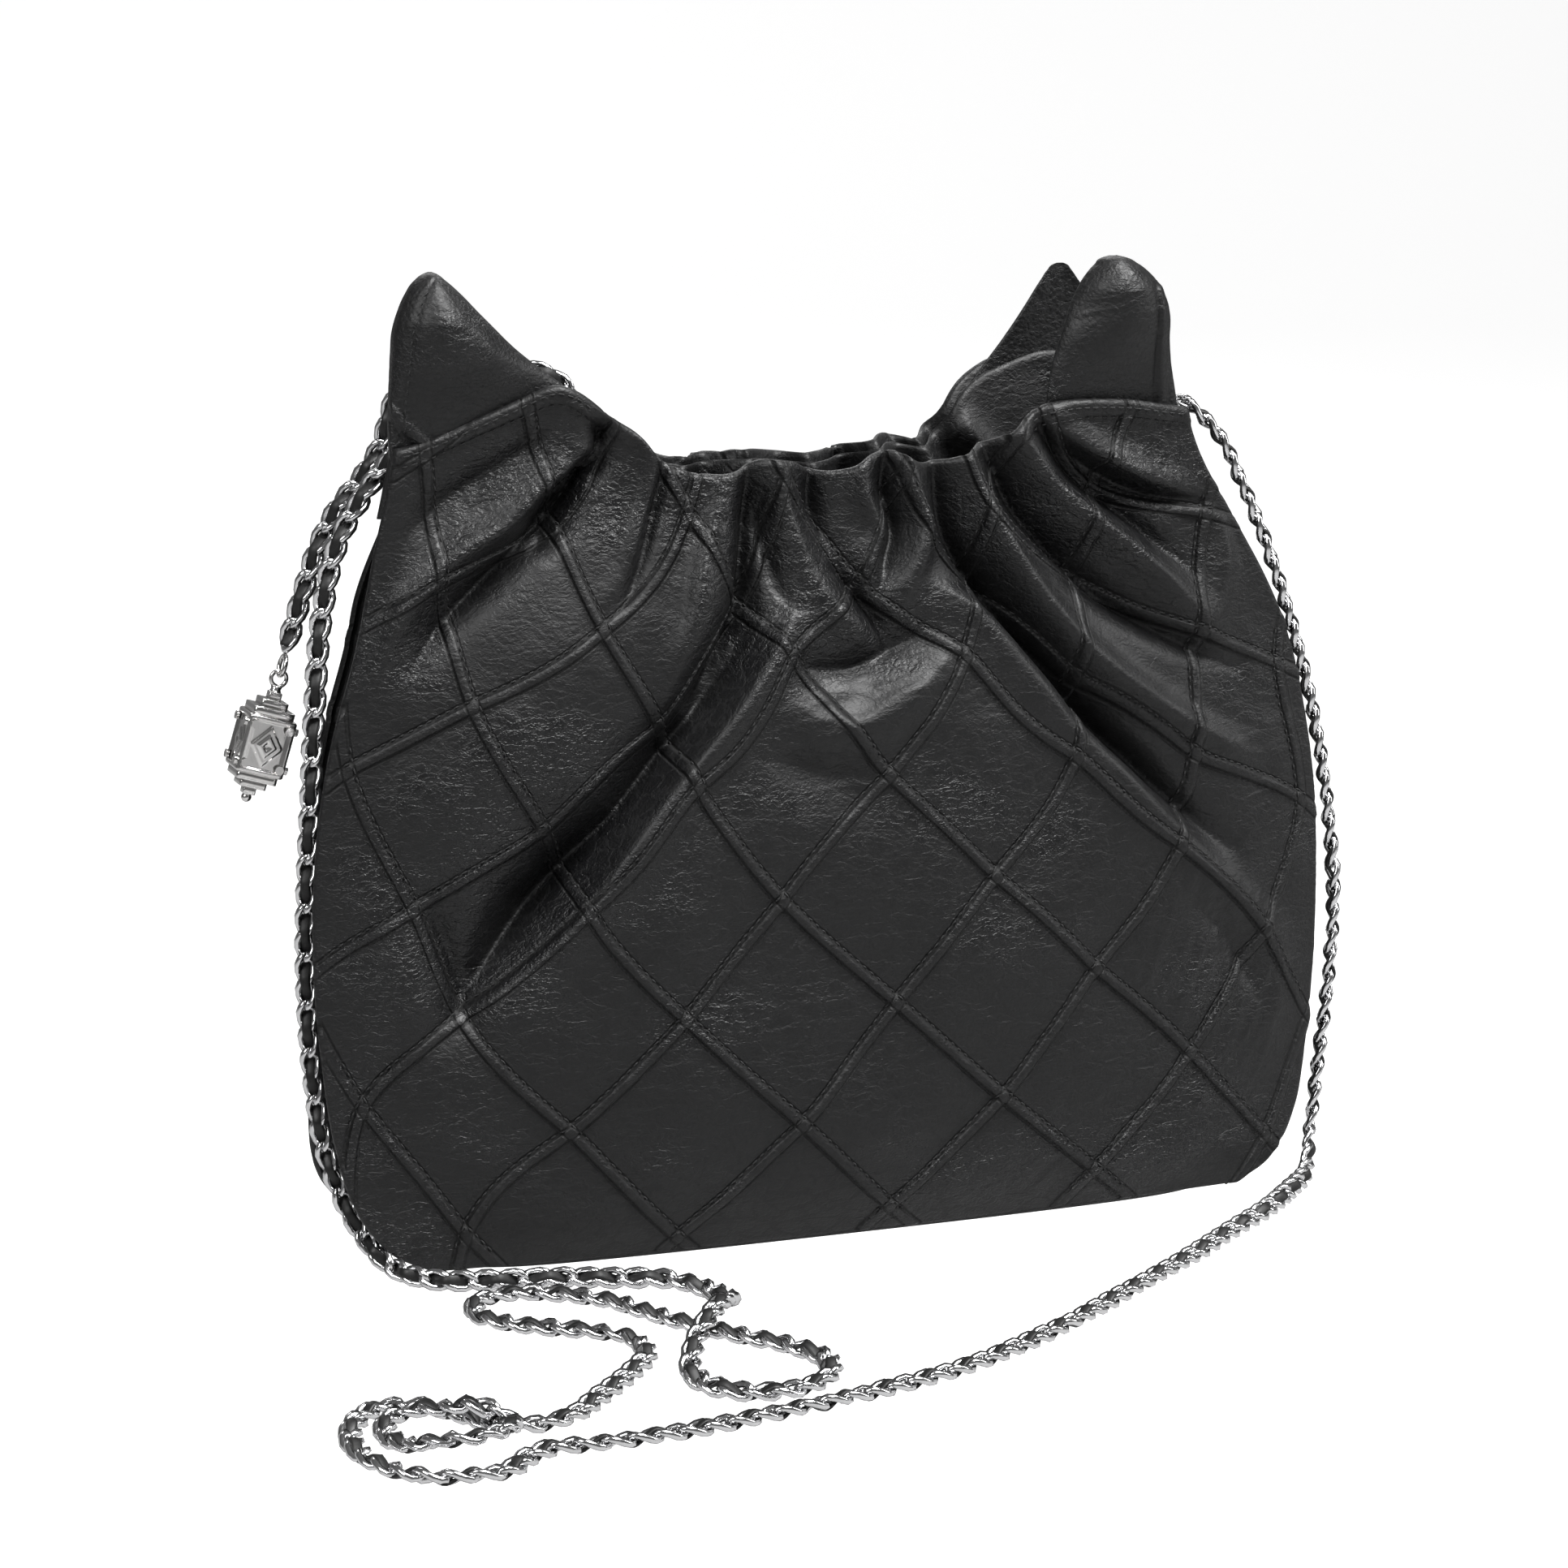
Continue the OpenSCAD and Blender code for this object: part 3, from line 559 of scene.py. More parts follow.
def link_shape(around=14, across=5):
    """A ring of round wire. Its middle line is an oval, cos a along and sin a across. It is twisted in
    proportion to the distance along, by link_twist one way at one end and the other way at the other."""
    a = np.linspace(0, 2 * np.pi, around, endpoint=False)
    long_half, wide_half = (link_pitch + wire) / 2, (chain_wide - wire) / 2

    def middle(a):
        along = long_half * np.sign(np.cos(a)) * np.abs(np.cos(a)) ** 0.9
        side = wide_half * np.sin(a)
        twist = link_twist * along / long_half
        return np.stack([along, side * np.cos(twist), side * np.sin(twist)], -1)

    centre = middle(a)
    ahead = unit(middle(a + 0.02) - middle(a - 0.02))
    out = unit(centre - (centre * ahead).sum(-1, keepdims=True) * ahead)
    up = np.cross(ahead, out)
    b = np.linspace(0, 2 * np.pi, across, endpoint=False) + 0.3
    ring = np.cos(b)[None, :, None] * out[:, None] + np.sin(b)[None, :, None] * up[:, None]
    return (centre[:, None] + wire / 2 * ring).reshape(-1, 3), grid_faces(around, across, True, True)


link_points, link_faces = link_shape()
print("one link:", len(link_faces), "faces")


# %% A chain along a route
def frames(line, facing):
    """Face direction and side direction along a line. facing is a table of rows (share of the length,
    x, y, z) that says which way the flat of the chain looks."""
    tangent = unit(np.gradient(line, axis=0))
    share = np.linspace(0, 1, len(line))
    table = np.asarray(facing, float)
    look = np.stack([np.interp(share, table[:, 0], table[:, k]) for k in (1, 2, 3)], 1)
    face = unit(look - (look * tangent).sum(-1, keepdims=True) * tangent)
    return face, np.cross(face, tangent)


def chain(name, line, length, facing, wobble):
    """Links at an even pitch along a line, each a stiff copy of one link, and a ribbon swept through
    them. The ribbon's height is a cosine of two pitches: over one crossing and under the next."""
    count = int(round(length / link_pitch))
    pitch = length / count
    share = (np.arange(count) + 0.5) / count
    face, side = frames(line, facing)
    at = np.linspace(0, 1, len(line))
    centre = np.stack([np.interp(share, at, line[:, k]) for k in range(3)], 1)
    reach = 0.42 * pitch / length
    front = np.stack([np.interp(np.clip(share + reach, 0, 1), at, line[:, k]) for k in range(3)], 1)
    rear = np.stack([np.interp(np.clip(share - reach, 0, 1), at, line[:, k]) for k in range(3)], 1)
    t = unit(front - rear)
    centre = 0.5 * centre + 0.25 * (front + rear)
    f = unit(np.stack([np.interp(share, at, face[:, k]) for k in range(3)], 1))
    roll = np.radians(wobble) * noise(np.arange(count) * 0.37, np.zeros(count), 5)
    s = np.cross(f, t)
    f, s = (f * np.cos(roll)[:, None] + s * np.sin(roll)[:, None],
            s * np.cos(roll)[:, None] - f * np.sin(roll)[:, None])
    f = unit(f - (f * t).sum(-1, keepdims=True) * t)
    s = np.cross(f, t)
    links = (centre[:, None] + link_points[None, :, 0:1] * t[:, None]
             + link_points[None, :, 1:2] * s[:, None] + link_points[None, :, 2:3] * f[:, None])
    faces = (link_faces[None] + (np.arange(count) * len(link_points))[:, None, None]).reshape(-1, 4)

    rings, corners = int(length / 0.8), ribbon_sides
    rs = np.linspace(0.3 / length, 1 - 0.3 / length, rings)
    p, rf, rside = (np.stack([np.interp(rs, at, v[:, k]) for k in range(3)], 1) for v in (line, face, side))
    weave = ribbon_rise * np.cos(np.pi * rs * count)
    p = p + weave[:, None] * rf
    a = np.linspace(0, 2 * np.pi, corners, endpoint=False) + np.pi / 8
    flat = np.sign(np.cos(a)) * np.abs(np.cos(a)) ** 0.6 * ribbon_half
    thick = np.sin(a) * ribbon_thin
    ribbon = p[:, None] + flat[None, :, None] * rside[:, None] + thick[None, :, None] * rf[:, None]
    ribbon_faces = grid_faces(rings, corners, False, True) + links.size // 3
    first = links.size // 3
    caps = [tuple(first + k for k in range(corners)),
            tuple(first + (rings - 1) * corners + k for k in range(corners - 1, -1, -1))]
    points = np.concatenate([links.reshape(-1, 3), ribbon.reshape(-1, 3)])
    all_faces = faces.tolist() + ribbon_faces.tolist() + caps
    finish = np.concatenate([np.zeros(len(faces)), np.ones(len(ribbon_faces) + 2)])
    obj = make_mesh(name, points, all_faces, [chain_metal, ribbon_leather], finish)
    print(name, count, "links,", len(obj.data.polygons), "faces")
    return obj


strap_facing = [
    (0.0, 1, 0, 0), (0.02, 0.4, -0.2, 0.6), (0.045, 0.97, -0.25, 0.2), (0.14, 0.95, -0.3, 0),
    (0.19, 0.7, -0.5, 0.5), (0.22, 0.1, -0.15, 1), (0.3, 0.35, 0.3, 1), (0.42, 0.25, 0.2, 1),
    (0.5, 0, 0, 1), (0.6, 0, 0, 1),
    (0.7, -0.1, -0.1, 1), (0.8, -0.3, -0.8, 1), (0.835, -0.45, -1, 0.3), (0.95, -0.45, -1, 0.2),
    (0.975, -0.3, -0.6, 0.5), (1.0, -1, -0.2, 0),
]
tail_facing = [(0, 0, -1, 0), (0.25, 0, -1, 0.6), (0.5, 0, -0.6, 1), (0.7, -0.7, -1, 0.6), (1, -0.8, -1, 0.1)]
strap = chain("strap_chain", strap_line, strap_length, strap_facing, 16)
tail = chain("tail_chain", tail_line, tail_length, tail_facing, 12)

# %% [markdown]
# The charm is a small cast block of polished silver with a stepped cap and a stepped foot. Its rings
# are squares with slightly round corners, so a lofted shell makes each part, and the pattern on its
# faces is pushed in and out of that shell. It hangs at a lean from the tail's jump ring.

# %% The charm
charm_pivot, charm_lean = np.array([-128.3, 5, 141.6]), np.radians(17)
charm_side, block_top, block_foot = 11.5, -13.0, -26.5
charm_round = 144  # points round each ring of the charm
step_high, step_in, step_soft = 1.8, 1.7, 0.12


def hang(points):
    """Turns points from the charm's own frame, z up through its bail, into the bag's frame."""
    c, s = np.cos(charm_lean), np.sin(charm_lean)
    x, y, z = np.moveaxis(points, -1, 0)
    return charm_pivot + np.stack([x * c + z * s, y, z * c - x * s], -1)


def relief(u, v):
    """Height of the cast pattern on a face whose two shares run from -1 to 1: a raised frame, and in
    it a plain stepped lozenge."""
    frame_edge = ease((np.maximum(np.abs(u), np.abs(v)) - 0.80) / 0.05)
    lozenge = np.abs(u) + np.abs(v)
    outer, middle, heart = (ease((edge - lozenge) / 0.06) for edge in (0.72, 0.42, 0.18))
    step = 0.5 * outer + 0.5 * middle - 0.6 * heart
    return np.maximum(frame_edge, step)


def turned_square(rows, pattern=0.0):
    """A closed shell from rows of (height, half side, power). Each ring is the curve on which the
    powers of the two shares add to one: 2 is a circle and 14 a square with small round corners."""
    z, half, power = (np.asarray(rows, float)[:, k][:, None] for k in range(3))
    a = np.linspace(0, 2 * np.pi, charm_round, endpoint=False)[None, :]
    c, s = np.cos(a), np.sin(a)
    r = half * (np.abs(c) ** power + np.abs(s) ** power) ** (-1 / power)
    share = np.minimum(np.abs(c), np.abs(s)) / np.maximum(np.abs(c), np.abs(s))
    v = (2 * z - z.max() - z.min()) / (z.max() - z.min())
    r = r * (1 + pattern * (relief(share, v) - 1) / half)
    points = xyz(r * c, r * s, z)
    n = len(rows)
    faces = grid_faces(n, charm_round, False, True)[:, ::-1].tolist()
    last = (n - 1) * charm_round
    faces += [tuple(range(charm_round - 1, -1, -1)), tuple(last + k for k in range(charm_round))]
    return hang(points).reshape(-1, 3), faces


def steps(z, up):
    """Rows of three square steps that shrink away from the block."""
    rows = [(z, 0.2, 2), (z, charm_side / 2 - 1.0, 14)]
    for i in range(3):
        half = charm_side / 2 - step_in * (i + 0.5)
        low = z + up * step_high * i
        rows += [(low + up * rise, half - inset, 14) for rise, inset in
                 ((0, step_soft), (step_soft, 0), (step_high - step_soft, 0), (step_high, step_soft))]
    return rows


def cast(name, node, parts):
    """Joins shells into one silver piece of the charm."""
    points, faces, first = [], [], 0
    for p, f in parts:
        points.append(p)
        faces += [[k + first for k in face] for face in f]
        first += len(p)
    obj = make_mesh(name, np.concatenate(points), faces, [charm_metal], body="charm")
    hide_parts(node)
    print(name, len(obj.data.polygons), "faces")
    return obj


levels = np.linspace(0, 1, 70)
block_half = [charm_side / 2 - 0.3 * (1 - ease(min(k, 1 - k) / 0.025)) for k in levels]
block_rows = ([(block_foot, 0.3, 2), (block_foot, charm_side / 2 - 0.35, 14)]
              + [(block_foot + (block_top - block_foot) * k, half, 14) for k, half in zip(levels, block_half)]
              + [(block_top, charm_side / 2 - 0.35, 14), (block_top, 0.3, 2)])
charm_block = cast("charm_block_silver", "charm_block", [turned_square(block_rows, 0.55)])
bail_a = np.linspace(0, 2 * np.pi, 48, endpoint=False)[:, None]
bail_b = np.linspace(0, 2 * np.pi, 14, endpoint=False)[None, :]
bail_wide, bail_wire, bail_at = 1.8, 0.5, -4.4
bail_r = bail_wide + bail_wire * np.cos(bail_b)
bail = xyz(bail_r * np.cos(bail_a), bail_wire * np.sin(bail_b), bail_at + bail_r * np.sin(bail_a))
neck_rows = [(-7.6, 1.5, 14), (-7.6, 1.45, 2), (-6.9, 1.15, 2), (-6.2, 1.35, 2), (-6.1, 0.9, 2),
             (-6.1, 0.2, 2)]
cap_rows = steps(block_top, 1) + neck_rows
charm_cap = cast("charm_cap_silver", "charm_cap", [
    turned_square(cap_rows), (hang(bail).reshape(-1, 3), grid_faces(48, 14, True, True).tolist())])
ball = [(-32.7 - 1.2 * np.sin(k), 1.2 * np.cos(k) + 0.01, 2) for k in np.linspace(-0.6, 1.5, 14)]
foot_rows = (steps(block_foot, -1) + [(-31.9, 1.2, 8)] + ball)[::-1]
charm_foot = cast("charm_foot_silver", "charm_foot", [turned_square(foot_rows)])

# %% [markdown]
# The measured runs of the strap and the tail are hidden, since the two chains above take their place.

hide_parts("strap_right_run", "strap_coil", "strap_left_run")
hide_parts("tail_run")

# %% [markdown]
# ## The outline of the pouch
# The pouch is widest and deepest in its belly and narrows to the gathered mouth. Four tables give its
# half width, half depth and the fold of its sides against height. The front wall is then a function of
# the share across, from -1 at the left seam to 1 at the right, and the height above the floor.

# %% Outline tables
half_width, half_depth = 127.0, 31.0
side_line = [(0, .79), (4, .86), (10, .91), (18, .945), (30, .97), (50, .99), (78, 1), (105, .985),
             (130, .945), (150, .89), (167, .835), (182, .785), (200, .75)]
mid_line = [(0, .87), (8, .95), (30, 1), (60, 1), (100, .94), (130, .81), (150, .68), (165, .56),
            (176, .48), (184, .48), (200, .56)]
edge_line = [(0, .77), (26, .61), (60, .52), (100, .48), (140, .48), (170, .52), (200, .58)]
fold_line = [(0, 0), (26, 4), (60, 10), (100, 12), (150, 10), (186, 6)]


def half_w(z):
    """Half the bag's width at a height."""
    return half_width * smooth(side_line, z)


def half_d(s, z):
    """Half its depth: the edge's share at the seams, the middle's share in the middle."""
    edge = smooth(edge_line, z)
    return half_depth * (edge + (smooth(mid_line, z) - edge) * (1 - np.abs(s) ** 2.6))


def slouch_at(z):
    """How far the top has slipped to the left, easing in from 135 mm up."""
    return -9.0 * ease((z - 135) / 61)


def wall(s, z):
    """Outer face of the front wall before any fold: across, depth and height."""
    return xyz(slouch_at(z) + s * half_w(z), -half_d(s, z), z)


print("belly", 2 * half_w(78.0), "by", 2 * half_d(0.0, 45.0), "mm")

# %% [markdown]
# ## The quilting
# The panels are quilted in a lattice of pin tucks, thin pinched ridges about 37 mm apart that cross
# at a slant, each sewn along one side. On the flat cut the lattice is regular; once the mouth is
# gathered it is pushed out of square. A thin-plate spline carries that: it takes a handful of
# crossings, each with its two counts in the lattice, and bends smoothly past all of them. A tuck is
# then wherever one of the two counts is a whole number.

# %% Crossings of the front lattice
crossings = np.array([
    # x, z, count up to the right, count down to the right
    (-19, 83, 0, 0), (-43, 57, -1, 0), (9, 57, 0, 1), (-15, 30, -1, 1), (8, 110, 1, 0), (34, 85, 1, 1),
    (-67, 85, -1, -1), (-70, 32, -2, 0), (37, 31, 0, 2), (-42, 114, 0, -1), (-96, 60, -2, -1),
    (-97, 10, -3, 0), (-119, 41, -3, -1), (8, 7, -1, 2), (62, 10, 0, 3), (89, 36, 1, 3), (61, 60, 1, 2),
    (58, 113, 2, 1), (85, 89, 2, 2), (110, 64, 2, 3), (-92, 133, -1, -3), (-61, 149, 0, -3),
    (-74, 102, -1, -2), (-105, 86, -2, -2), (-120, 119, -2, -3), (-44, 123, 0, -2), (-17, 144, 1, -1),
    (-37, 174, 1, -3), (-23, 150, 1, -2), (-15, 182, 2, -2), (30, 139, 2, 0), (58, 129, 3, 1),
    (90, 108, 3, 2), (123, 95, 3, 3), (60, 155, 4, 1), (93, 139, 4, 2), (114, 130, 4, 3),
    (37, 170, 4, 0), (66, 173, 5, 1), (95, 168, 5, 2), (-98, 161, -1, -4), (-69, 171, 0, -4),
    (-100, 190, -1, -5), (-120, 148, -2, -4), (17, 182, 3, -1), (4, 154, 2, -1), (-121, 8, -4, -1),
    (112, 12, 1, 4), (124, 40, 2, 4), (-45, 4, -2, 1),
], float)


plate_ease = 400.0


def plate(points, values, x, z):
    """Thin-plate spline: a plane plus r squared times the logarithm of r squared about every given
    point. plate_ease on the diagonal lets it pass a little beside the points, so that it stays calm."""
    def swell(ax, az, bx, bz):
        r2 = (ax - bx) ** 2 + (az - bz) ** 2
        return r2 * np.log(r2 + 1e-9)

    px, pz, n = points[:, 0], points[:, 1], len(points)
    m = np.zeros((n + 3, n + 3))
    m[:n, :n] = swell(px[:, None], pz[:, None], px[None], pz[None]) + plate_ease * np.eye(n)
    m[:n, n:] = np.stack([np.ones(n), px, pz], 1)
    m[n:, :n] = m[:n, n:].T
    w = np.linalg.solve(m, np.concatenate([values, np.zeros((3, values.shape[1]))]))
    flat = swell(x[..., None], z[..., None], px, pz) @ w[:n]
    return flat + w[n] + x[..., None] * w[n + 1] + z[..., None] * w[n + 2]


def front_lattice(x, z):
    """The two lattice counts at a place on the front."""
    return plate(crossings[:, :2], crossings[:, 2:], x, z)


def back_lattice(x, z):
    """The regular lattice, narrowed towards the mouth, seen from behind."""
    x = -x * (1 + 0.22 * ease((z - 115) / 70)) + 3 * np.sin(z / 21)
    z = z + 2.5 * np.sin(x / 26)
    m = (z - 84) / 26.5
    j = (x + 19 - 24.5 * m) / 51.5
    return np.stack([j + m, j], -1)


def tuck_distance(lattice, x, z):
    """Distance in millimetres to the nearest tuck of either family: the count's distance from a whole
    number over the length of its slope."""
    here = lattice(x, z)
    slope = np.sqrt((lattice(x + 0.5, z) - here) ** 2 + (lattice(x, z + 0.5) - here) ** 2) / 0.5
    return here, (here - np.round(here)) / np.maximum(slope, 0.012), slope


probe = front_lattice(np.array([-19.0, 58.0]), np.array([83.0, 113.0]))
print("counts at two crossings", probe.round(2).tolist())

# %% [markdown]
# ## Folds
# The elastic throws the top of each panel into pleats that run down and outwards from the mouth. Each
# pleat is a line given as points, with a height that changes along it. Beside the line the height dies away
# as a bell that may be steep on one side and gentle on the other, so a tight pinched ridge next to a
# wide dark hollow takes two lines. They are all added together over the grid.

# %% The fold tool
def beside(route, x, z):
    """Signed distance to a route, positive on the right of travel, and the share of the way along."""
    line, _ = spline(route, 22)
    best, side, share = np.full(x.shape, 1e9), np.ones(x.shape), np.zeros(x.shape)
    for k in range(21):
        a, e = line[k], line[k + 1] - line[k]
        u = np.clip(((x - a[0]) * e[0] + (z - a[1]) * e[1]) / (e @ e), 0, 1)
        dx, dz = x - a[0] - u * e[0], z - a[1] - u * e[1]
        far = dx * dx + dz * dz
        near = far < best
        best = np.where(near, far, best)
        side = np.where(near, np.where(e[0] * dz - e[1] * dx > 0, -1.0, 1.0), side)
        share = np.where(near, (k + u) / 21, share)
    return side * np.sqrt(best), share


def folded(folds, x, z):
    """Sum of the folds' heights: a ridge is its height along the way times a bell of the distance, and
    a hollow is a sharper bell, close to a V, because the leather pinches at its bottom."""
    total = np.zeros(x.shape)
    for heights, left, right, route in folds:
        d, share = beside(route, x, z)
        tall = np.interp(share, np.linspace(0, 1, len(heights)), heights)
        far = np.abs(d) / np.where(d > 0, right, left)
        ridge, hollow = 1.12 * np.exp(-far ** 1.8), 1.5 * np.exp(-(far / 0.9) ** 1.3)
        total += tall * np.where(tall > 0, ridge, hollow)
    return total


front_folds = [
    # the long pinched ridge from the mouth to the lower left, and the hollow on its upper side
    ([0, 3.5, 5, 5.2, 4.6, 3.8, 2.6, 1.2, 0], 5.5, 2.4,
     [(-10, 155), (-12, 152), (-17, 144), (-29, 129), (-42, 115), (-54, 101), (-67, 84), (-79, 71),
      (-94, 58)]),
    ([0, -4, -6.5, -7.5, -8, -8, -6.5, -3.5, 0], 4.5, 7.5,
     [(-20, 160), (-23, 147), (-34, 132), (-45, 120), (-59, 104), (-72, 91), (-84, 78), (-93, 67),
      (-104, 52)]),
    ([0, -3, -4, -2, 0], 8, 12, [(-60, 108), (-74, 92), (-84, 80), (-90, 70), (-98, 60)]),
    # the full cushion above the hollow
    ([0, 3.2, 3.6, 2.4, 0], 15, 15, [(-52, 160), (-68, 142), (-82, 128), (-95, 112), (-106, 92)]),
    # the round tube that runs from the left ear to the side seam, and the hollow under it
    ([0, 4.2, 4.6, 4.4, 4.2, 3.4, 2.2, 0], 4.5, 4,
     [(-58, 193), (-64, 188), (-74, 181), (-82, 173), (-90, 169), (-99, 163), (-109, 150), (-119, 134)]),
    ([0, -4, -5, -4.6, -3, 0], 4.5, 4.5,
     [(-58, 188), (-68, 178), (-77, 169), (-86, 161), (-97, 151), (-107, 138)]),
    ([0, -2, -2.5, -1.5, 0], 5, 5, [(-66, 198), (-76, 190), (-88, 183), (-98, 177), (-108, 168)]),
    # the tongue that hangs from the mouth's left corner, with the dark cleft on its right
    ([2.5, 4.2, 4, 2.8, 0], 7, 3, [(-47, 192), (-46, 184), (-50, 170), (-53, 162), (-60, 152)]),
    ([-3, -5, -4.5, -3, 0], 3, 3.5, [(-58, 193), (-58, 188), (-64, 182), (-69, 175), (-75, 165)]),
    ([-3, -4.5, -4.5, -3, 0], 3, 3.5, [(-42, 188), (-44, 180), (-47, 170), (-51, 160), (-57, 150)]),
    # the broad pleat left of the middle
    ([1, 2.8, 3.6, 3.2, 1.6, 0], 6.5, 3,
     [(-27, 184), (-30, 175), (-35, 162), (-38, 150), (-43, 138), (-46, 124)]),
    ([-2, -5.2, -6.5, -6, -4, 0], 3.6, 3,
     [(-22, 184), (-22, 177), (-23, 165), (-25, 153), (-31, 142), (-40, 128)]),
    # the hooked tongue in the middle
    ([2, 4.4, 4.8, 4.2, 3, 0], 4, 4.5, [(-15, 186), (-15, 178), (-12, 168), (-8, 158), (-2, 149), (5, 143)]),
    ([0, -2.6, -2.8, -1.6, 0], 2, 2, [(-18, 180), (-19, 173), (-18, 163), (-16, 155), (-12, 149)]),
    ([-2, -4.6, -5.6, -5, -3.6, 0], 3, 3, [(-6, 184), (-6, 175), (-2, 163), (4, 153), (9, 146), (12, 138)]),
    # the saddle under it, and the swelling below that runs out to the right
    ([0, -3, -4, -3, 0], 5, 5, [(-17, 140), (-8, 137), (3, 137), (13, 141), (22, 146)]),
    ([0, 2.6, 3.4, 3.2, 2.6, 0], 4.5, 8, [(-20, 131), (-11, 126), (0, 123), (12, 128), (23, 136), (32, 143)]),
    ([0, -1.8, -1.6, 0], 4, 7, [(-27, 118), (-16, 116), (-4, 112), (8, 116)]),
    # two pleats right of the middle
    ([1, 3.2, 3, 2.4, 0], 3.5, 3, [(5, 186), (6, 176), (9, 168), (6, 160), (4, 150)]),
    ([-1, -3.4, -3.6, -2.4, 0], 2.6, 2.6, [(12, 186), (12, 177), (14, 168), (11, 160), (9, 152)]),
    ([2, 4.6, 5, 4.2, 2.6, 0], 3, 4, [(17, 187), (19, 177), (21, 168), (19, 161), (15, 153), (13, 147)]),
    # the long crease to the right, its pinched edge and the cleft above it
    ([0, 3, 3.6, 3.6, 3.4, 3, 2.4, 1.6, 0], 2.6, 7,
     [(18, 156), (22, 154), (35, 147), (46, 136), (55, 125), (61, 118), (72, 105), (86, 91), (101, 76)]),
    ([-2, -5.5, -7.5, -8, -8, -7.5, -6, -3, 0], 4.2, 3.4,
     [(25, 184), (28, 167), (36, 154), (44, 143), (53, 132), (61, 122), (73, 111), (86, 98), (104, 82)]),
    # three round pleats that fan out above it
    ([2, 4.2, 4.6, 4.4, 4.4, 4, 3, 1.6, 0], 4, 4,
     [(33, 184), (38, 170), (44, 158), (54, 144), (65, 133), (76, 125), (87, 118), (97, 112), (110, 102)]),
    ([-2, -4.6, -5.4, -5, -4, -2.4, 0], 3.6, 3,
     [(37, 186), (45, 172), (56, 160), (66, 150), (78, 142), (91, 135), (106, 128)]),
    ([3, 4.4, 4.8, 4.6, 3.6, 2, 0], 4.5, 4.5,
     [(45, 189), (54, 178), (64, 168), (75, 159), (85, 150), (93, 141), (103, 130)]),
    ([-2, -4, -4.4, -3, 0], 3, 3.4, [(51, 190), (60, 178), (71, 170), (82, 161), (93, 152)]),
    ([2, 3.4, 3.4, 2.2, 0], 3.6, 3.2, [(54, 191), (67, 183), (77, 178), (86, 174), (96, 170)]),
    ([0, -3.2, -3.4, -1.6, 0], 2.6, 2.6, [(56, 186), (67, 178), (78, 173), (89, 171), (102, 170)]),
    ([0, 1.6, 2.2, 1.6, 0], 3.5, 4.5, [(94, 176), (99, 165), (99, 153), (96, 143), (91, 134)]),
    # slack low on the right and a pinch low on the left
    ([0, 1.8, 1.8, 0], 4, 7, [(88, 84), (100, 76), (110, 66), (117, 52)]),
    ([0, -1.8, -1.6, 0], 5, 4, [(84, 76), (97, 67), (106, 54), (112, 42)]),
    ([0, -2.6, -2.8, -1.4, 0], 4.5, 3.5, [(-103, 92), (-100, 82), (-97, 72), (-94, 60), (-88, 48)]),
    ([0, 1.8, 1.5, 0], 6, 6, [(-116, 100), (-112, 84), (-108, 66), (-108, 48)]),
    ([0, 1.5, 1.5, 0], 12, 12, [(-60, 50), (-30, 40), (0, 30), (30, 22)]),
]
print(len(front_folds), "fold lines on the front")

# %% Crumple
def crumple(x, z, seed):
    """Soft dents from slow noise plus sharp-crested creases, one minus the noise's size, at two
    scales, drawn out along a slant that turns with the place."""
    turn = 0.9 * noise(x / 60, z / 60, seed)
    u = x * np.cos(turn) + z * np.sin(turn)
    v = z * np.cos(turn) - x * np.sin(turn)
    dents = 0.8 * noise(x / 24, z / 24, seed + 1) + 0.35 * noise(x / 11 + 3, z / 11, seed + 2)
    crest = (1 - np.abs(noise(u / 15, v / 7, seed + 3))) ** 3 - 0.3
    sharp = (1 - np.abs(noise(u / 7 + 9, v / 3.6, seed + 4))) ** 3 - 0.3
    where = ease(noise(x / 30 + 5, z / 30, seed + 5) * 0.9 + 0.55)
    return dents + where * (0.30 * crest + 0.16 * sharp)


def tuck_profile(d):
    """Height of a pin tuck at distance d: a flat-topped ridge 2 mm wide with a sewn groove beside it
    on one side."""
    ridge = 1 - ease((np.abs(d) - 0.7) / 0.85)
    groove = bell(d - 1.8, 0.55)
    return 1.05 * ridge - 0.45 * groove


print("crumple and tuck profile ready")

# %% [markdown]
# ## A quilted panel
# One function makes either panel. It lays a fine grid over the wall, moves each point along the
# wall's normal by the folds, the crumple, the small swelling of each quilted cell and the tucks, and
# turns the edges in, so that the leather has a rounded edge at the seams, the foot and the mouth.

# %% Panel grid
snap_place = (-4.0, 163.0)
foot_roll, seam_roll, rim_roll = 1.2, 1.3, 1.5


def curl(grid, normal, radius, angles):
    """Adds columns after the last one that curl inwards: radius times the sine of each angle along the
    surface's own direction, and radius times one minus its cosine against the normal there."""
    out = unit(grid[-1] - grid[-3])
    more = [grid[-1] + radius * (np.sin(a) * out - (1 - np.cos(a)) * normal) for a in angles]
    return np.concatenate([grid, np.stack(more)], 0)


def pleat_height(folds, s, x, z):
    """The folds, smaller near the seams and over the snap."""
    near_snap = bell(np.hypot(x - snap_place[0], z - snap_place[1]), 11)
    return folded(folds, x, z) * (0.25 + 0.75 * ease((1 - np.abs(s)) / 0.06)) * (1 - 0.6 * near_snap)


def rear_pull(z):
    """How far the rear left corner is drawn in to the right at a height."""
    return 5.5 * ease((z - 8) / 50) + 6.5 * ease((z - 150) / 34)


def rim_height(rim_table, s):
    """Height of the mouth's edge above a share across."""
    return smooth(rim_table, -7.5 + s * 99.0)


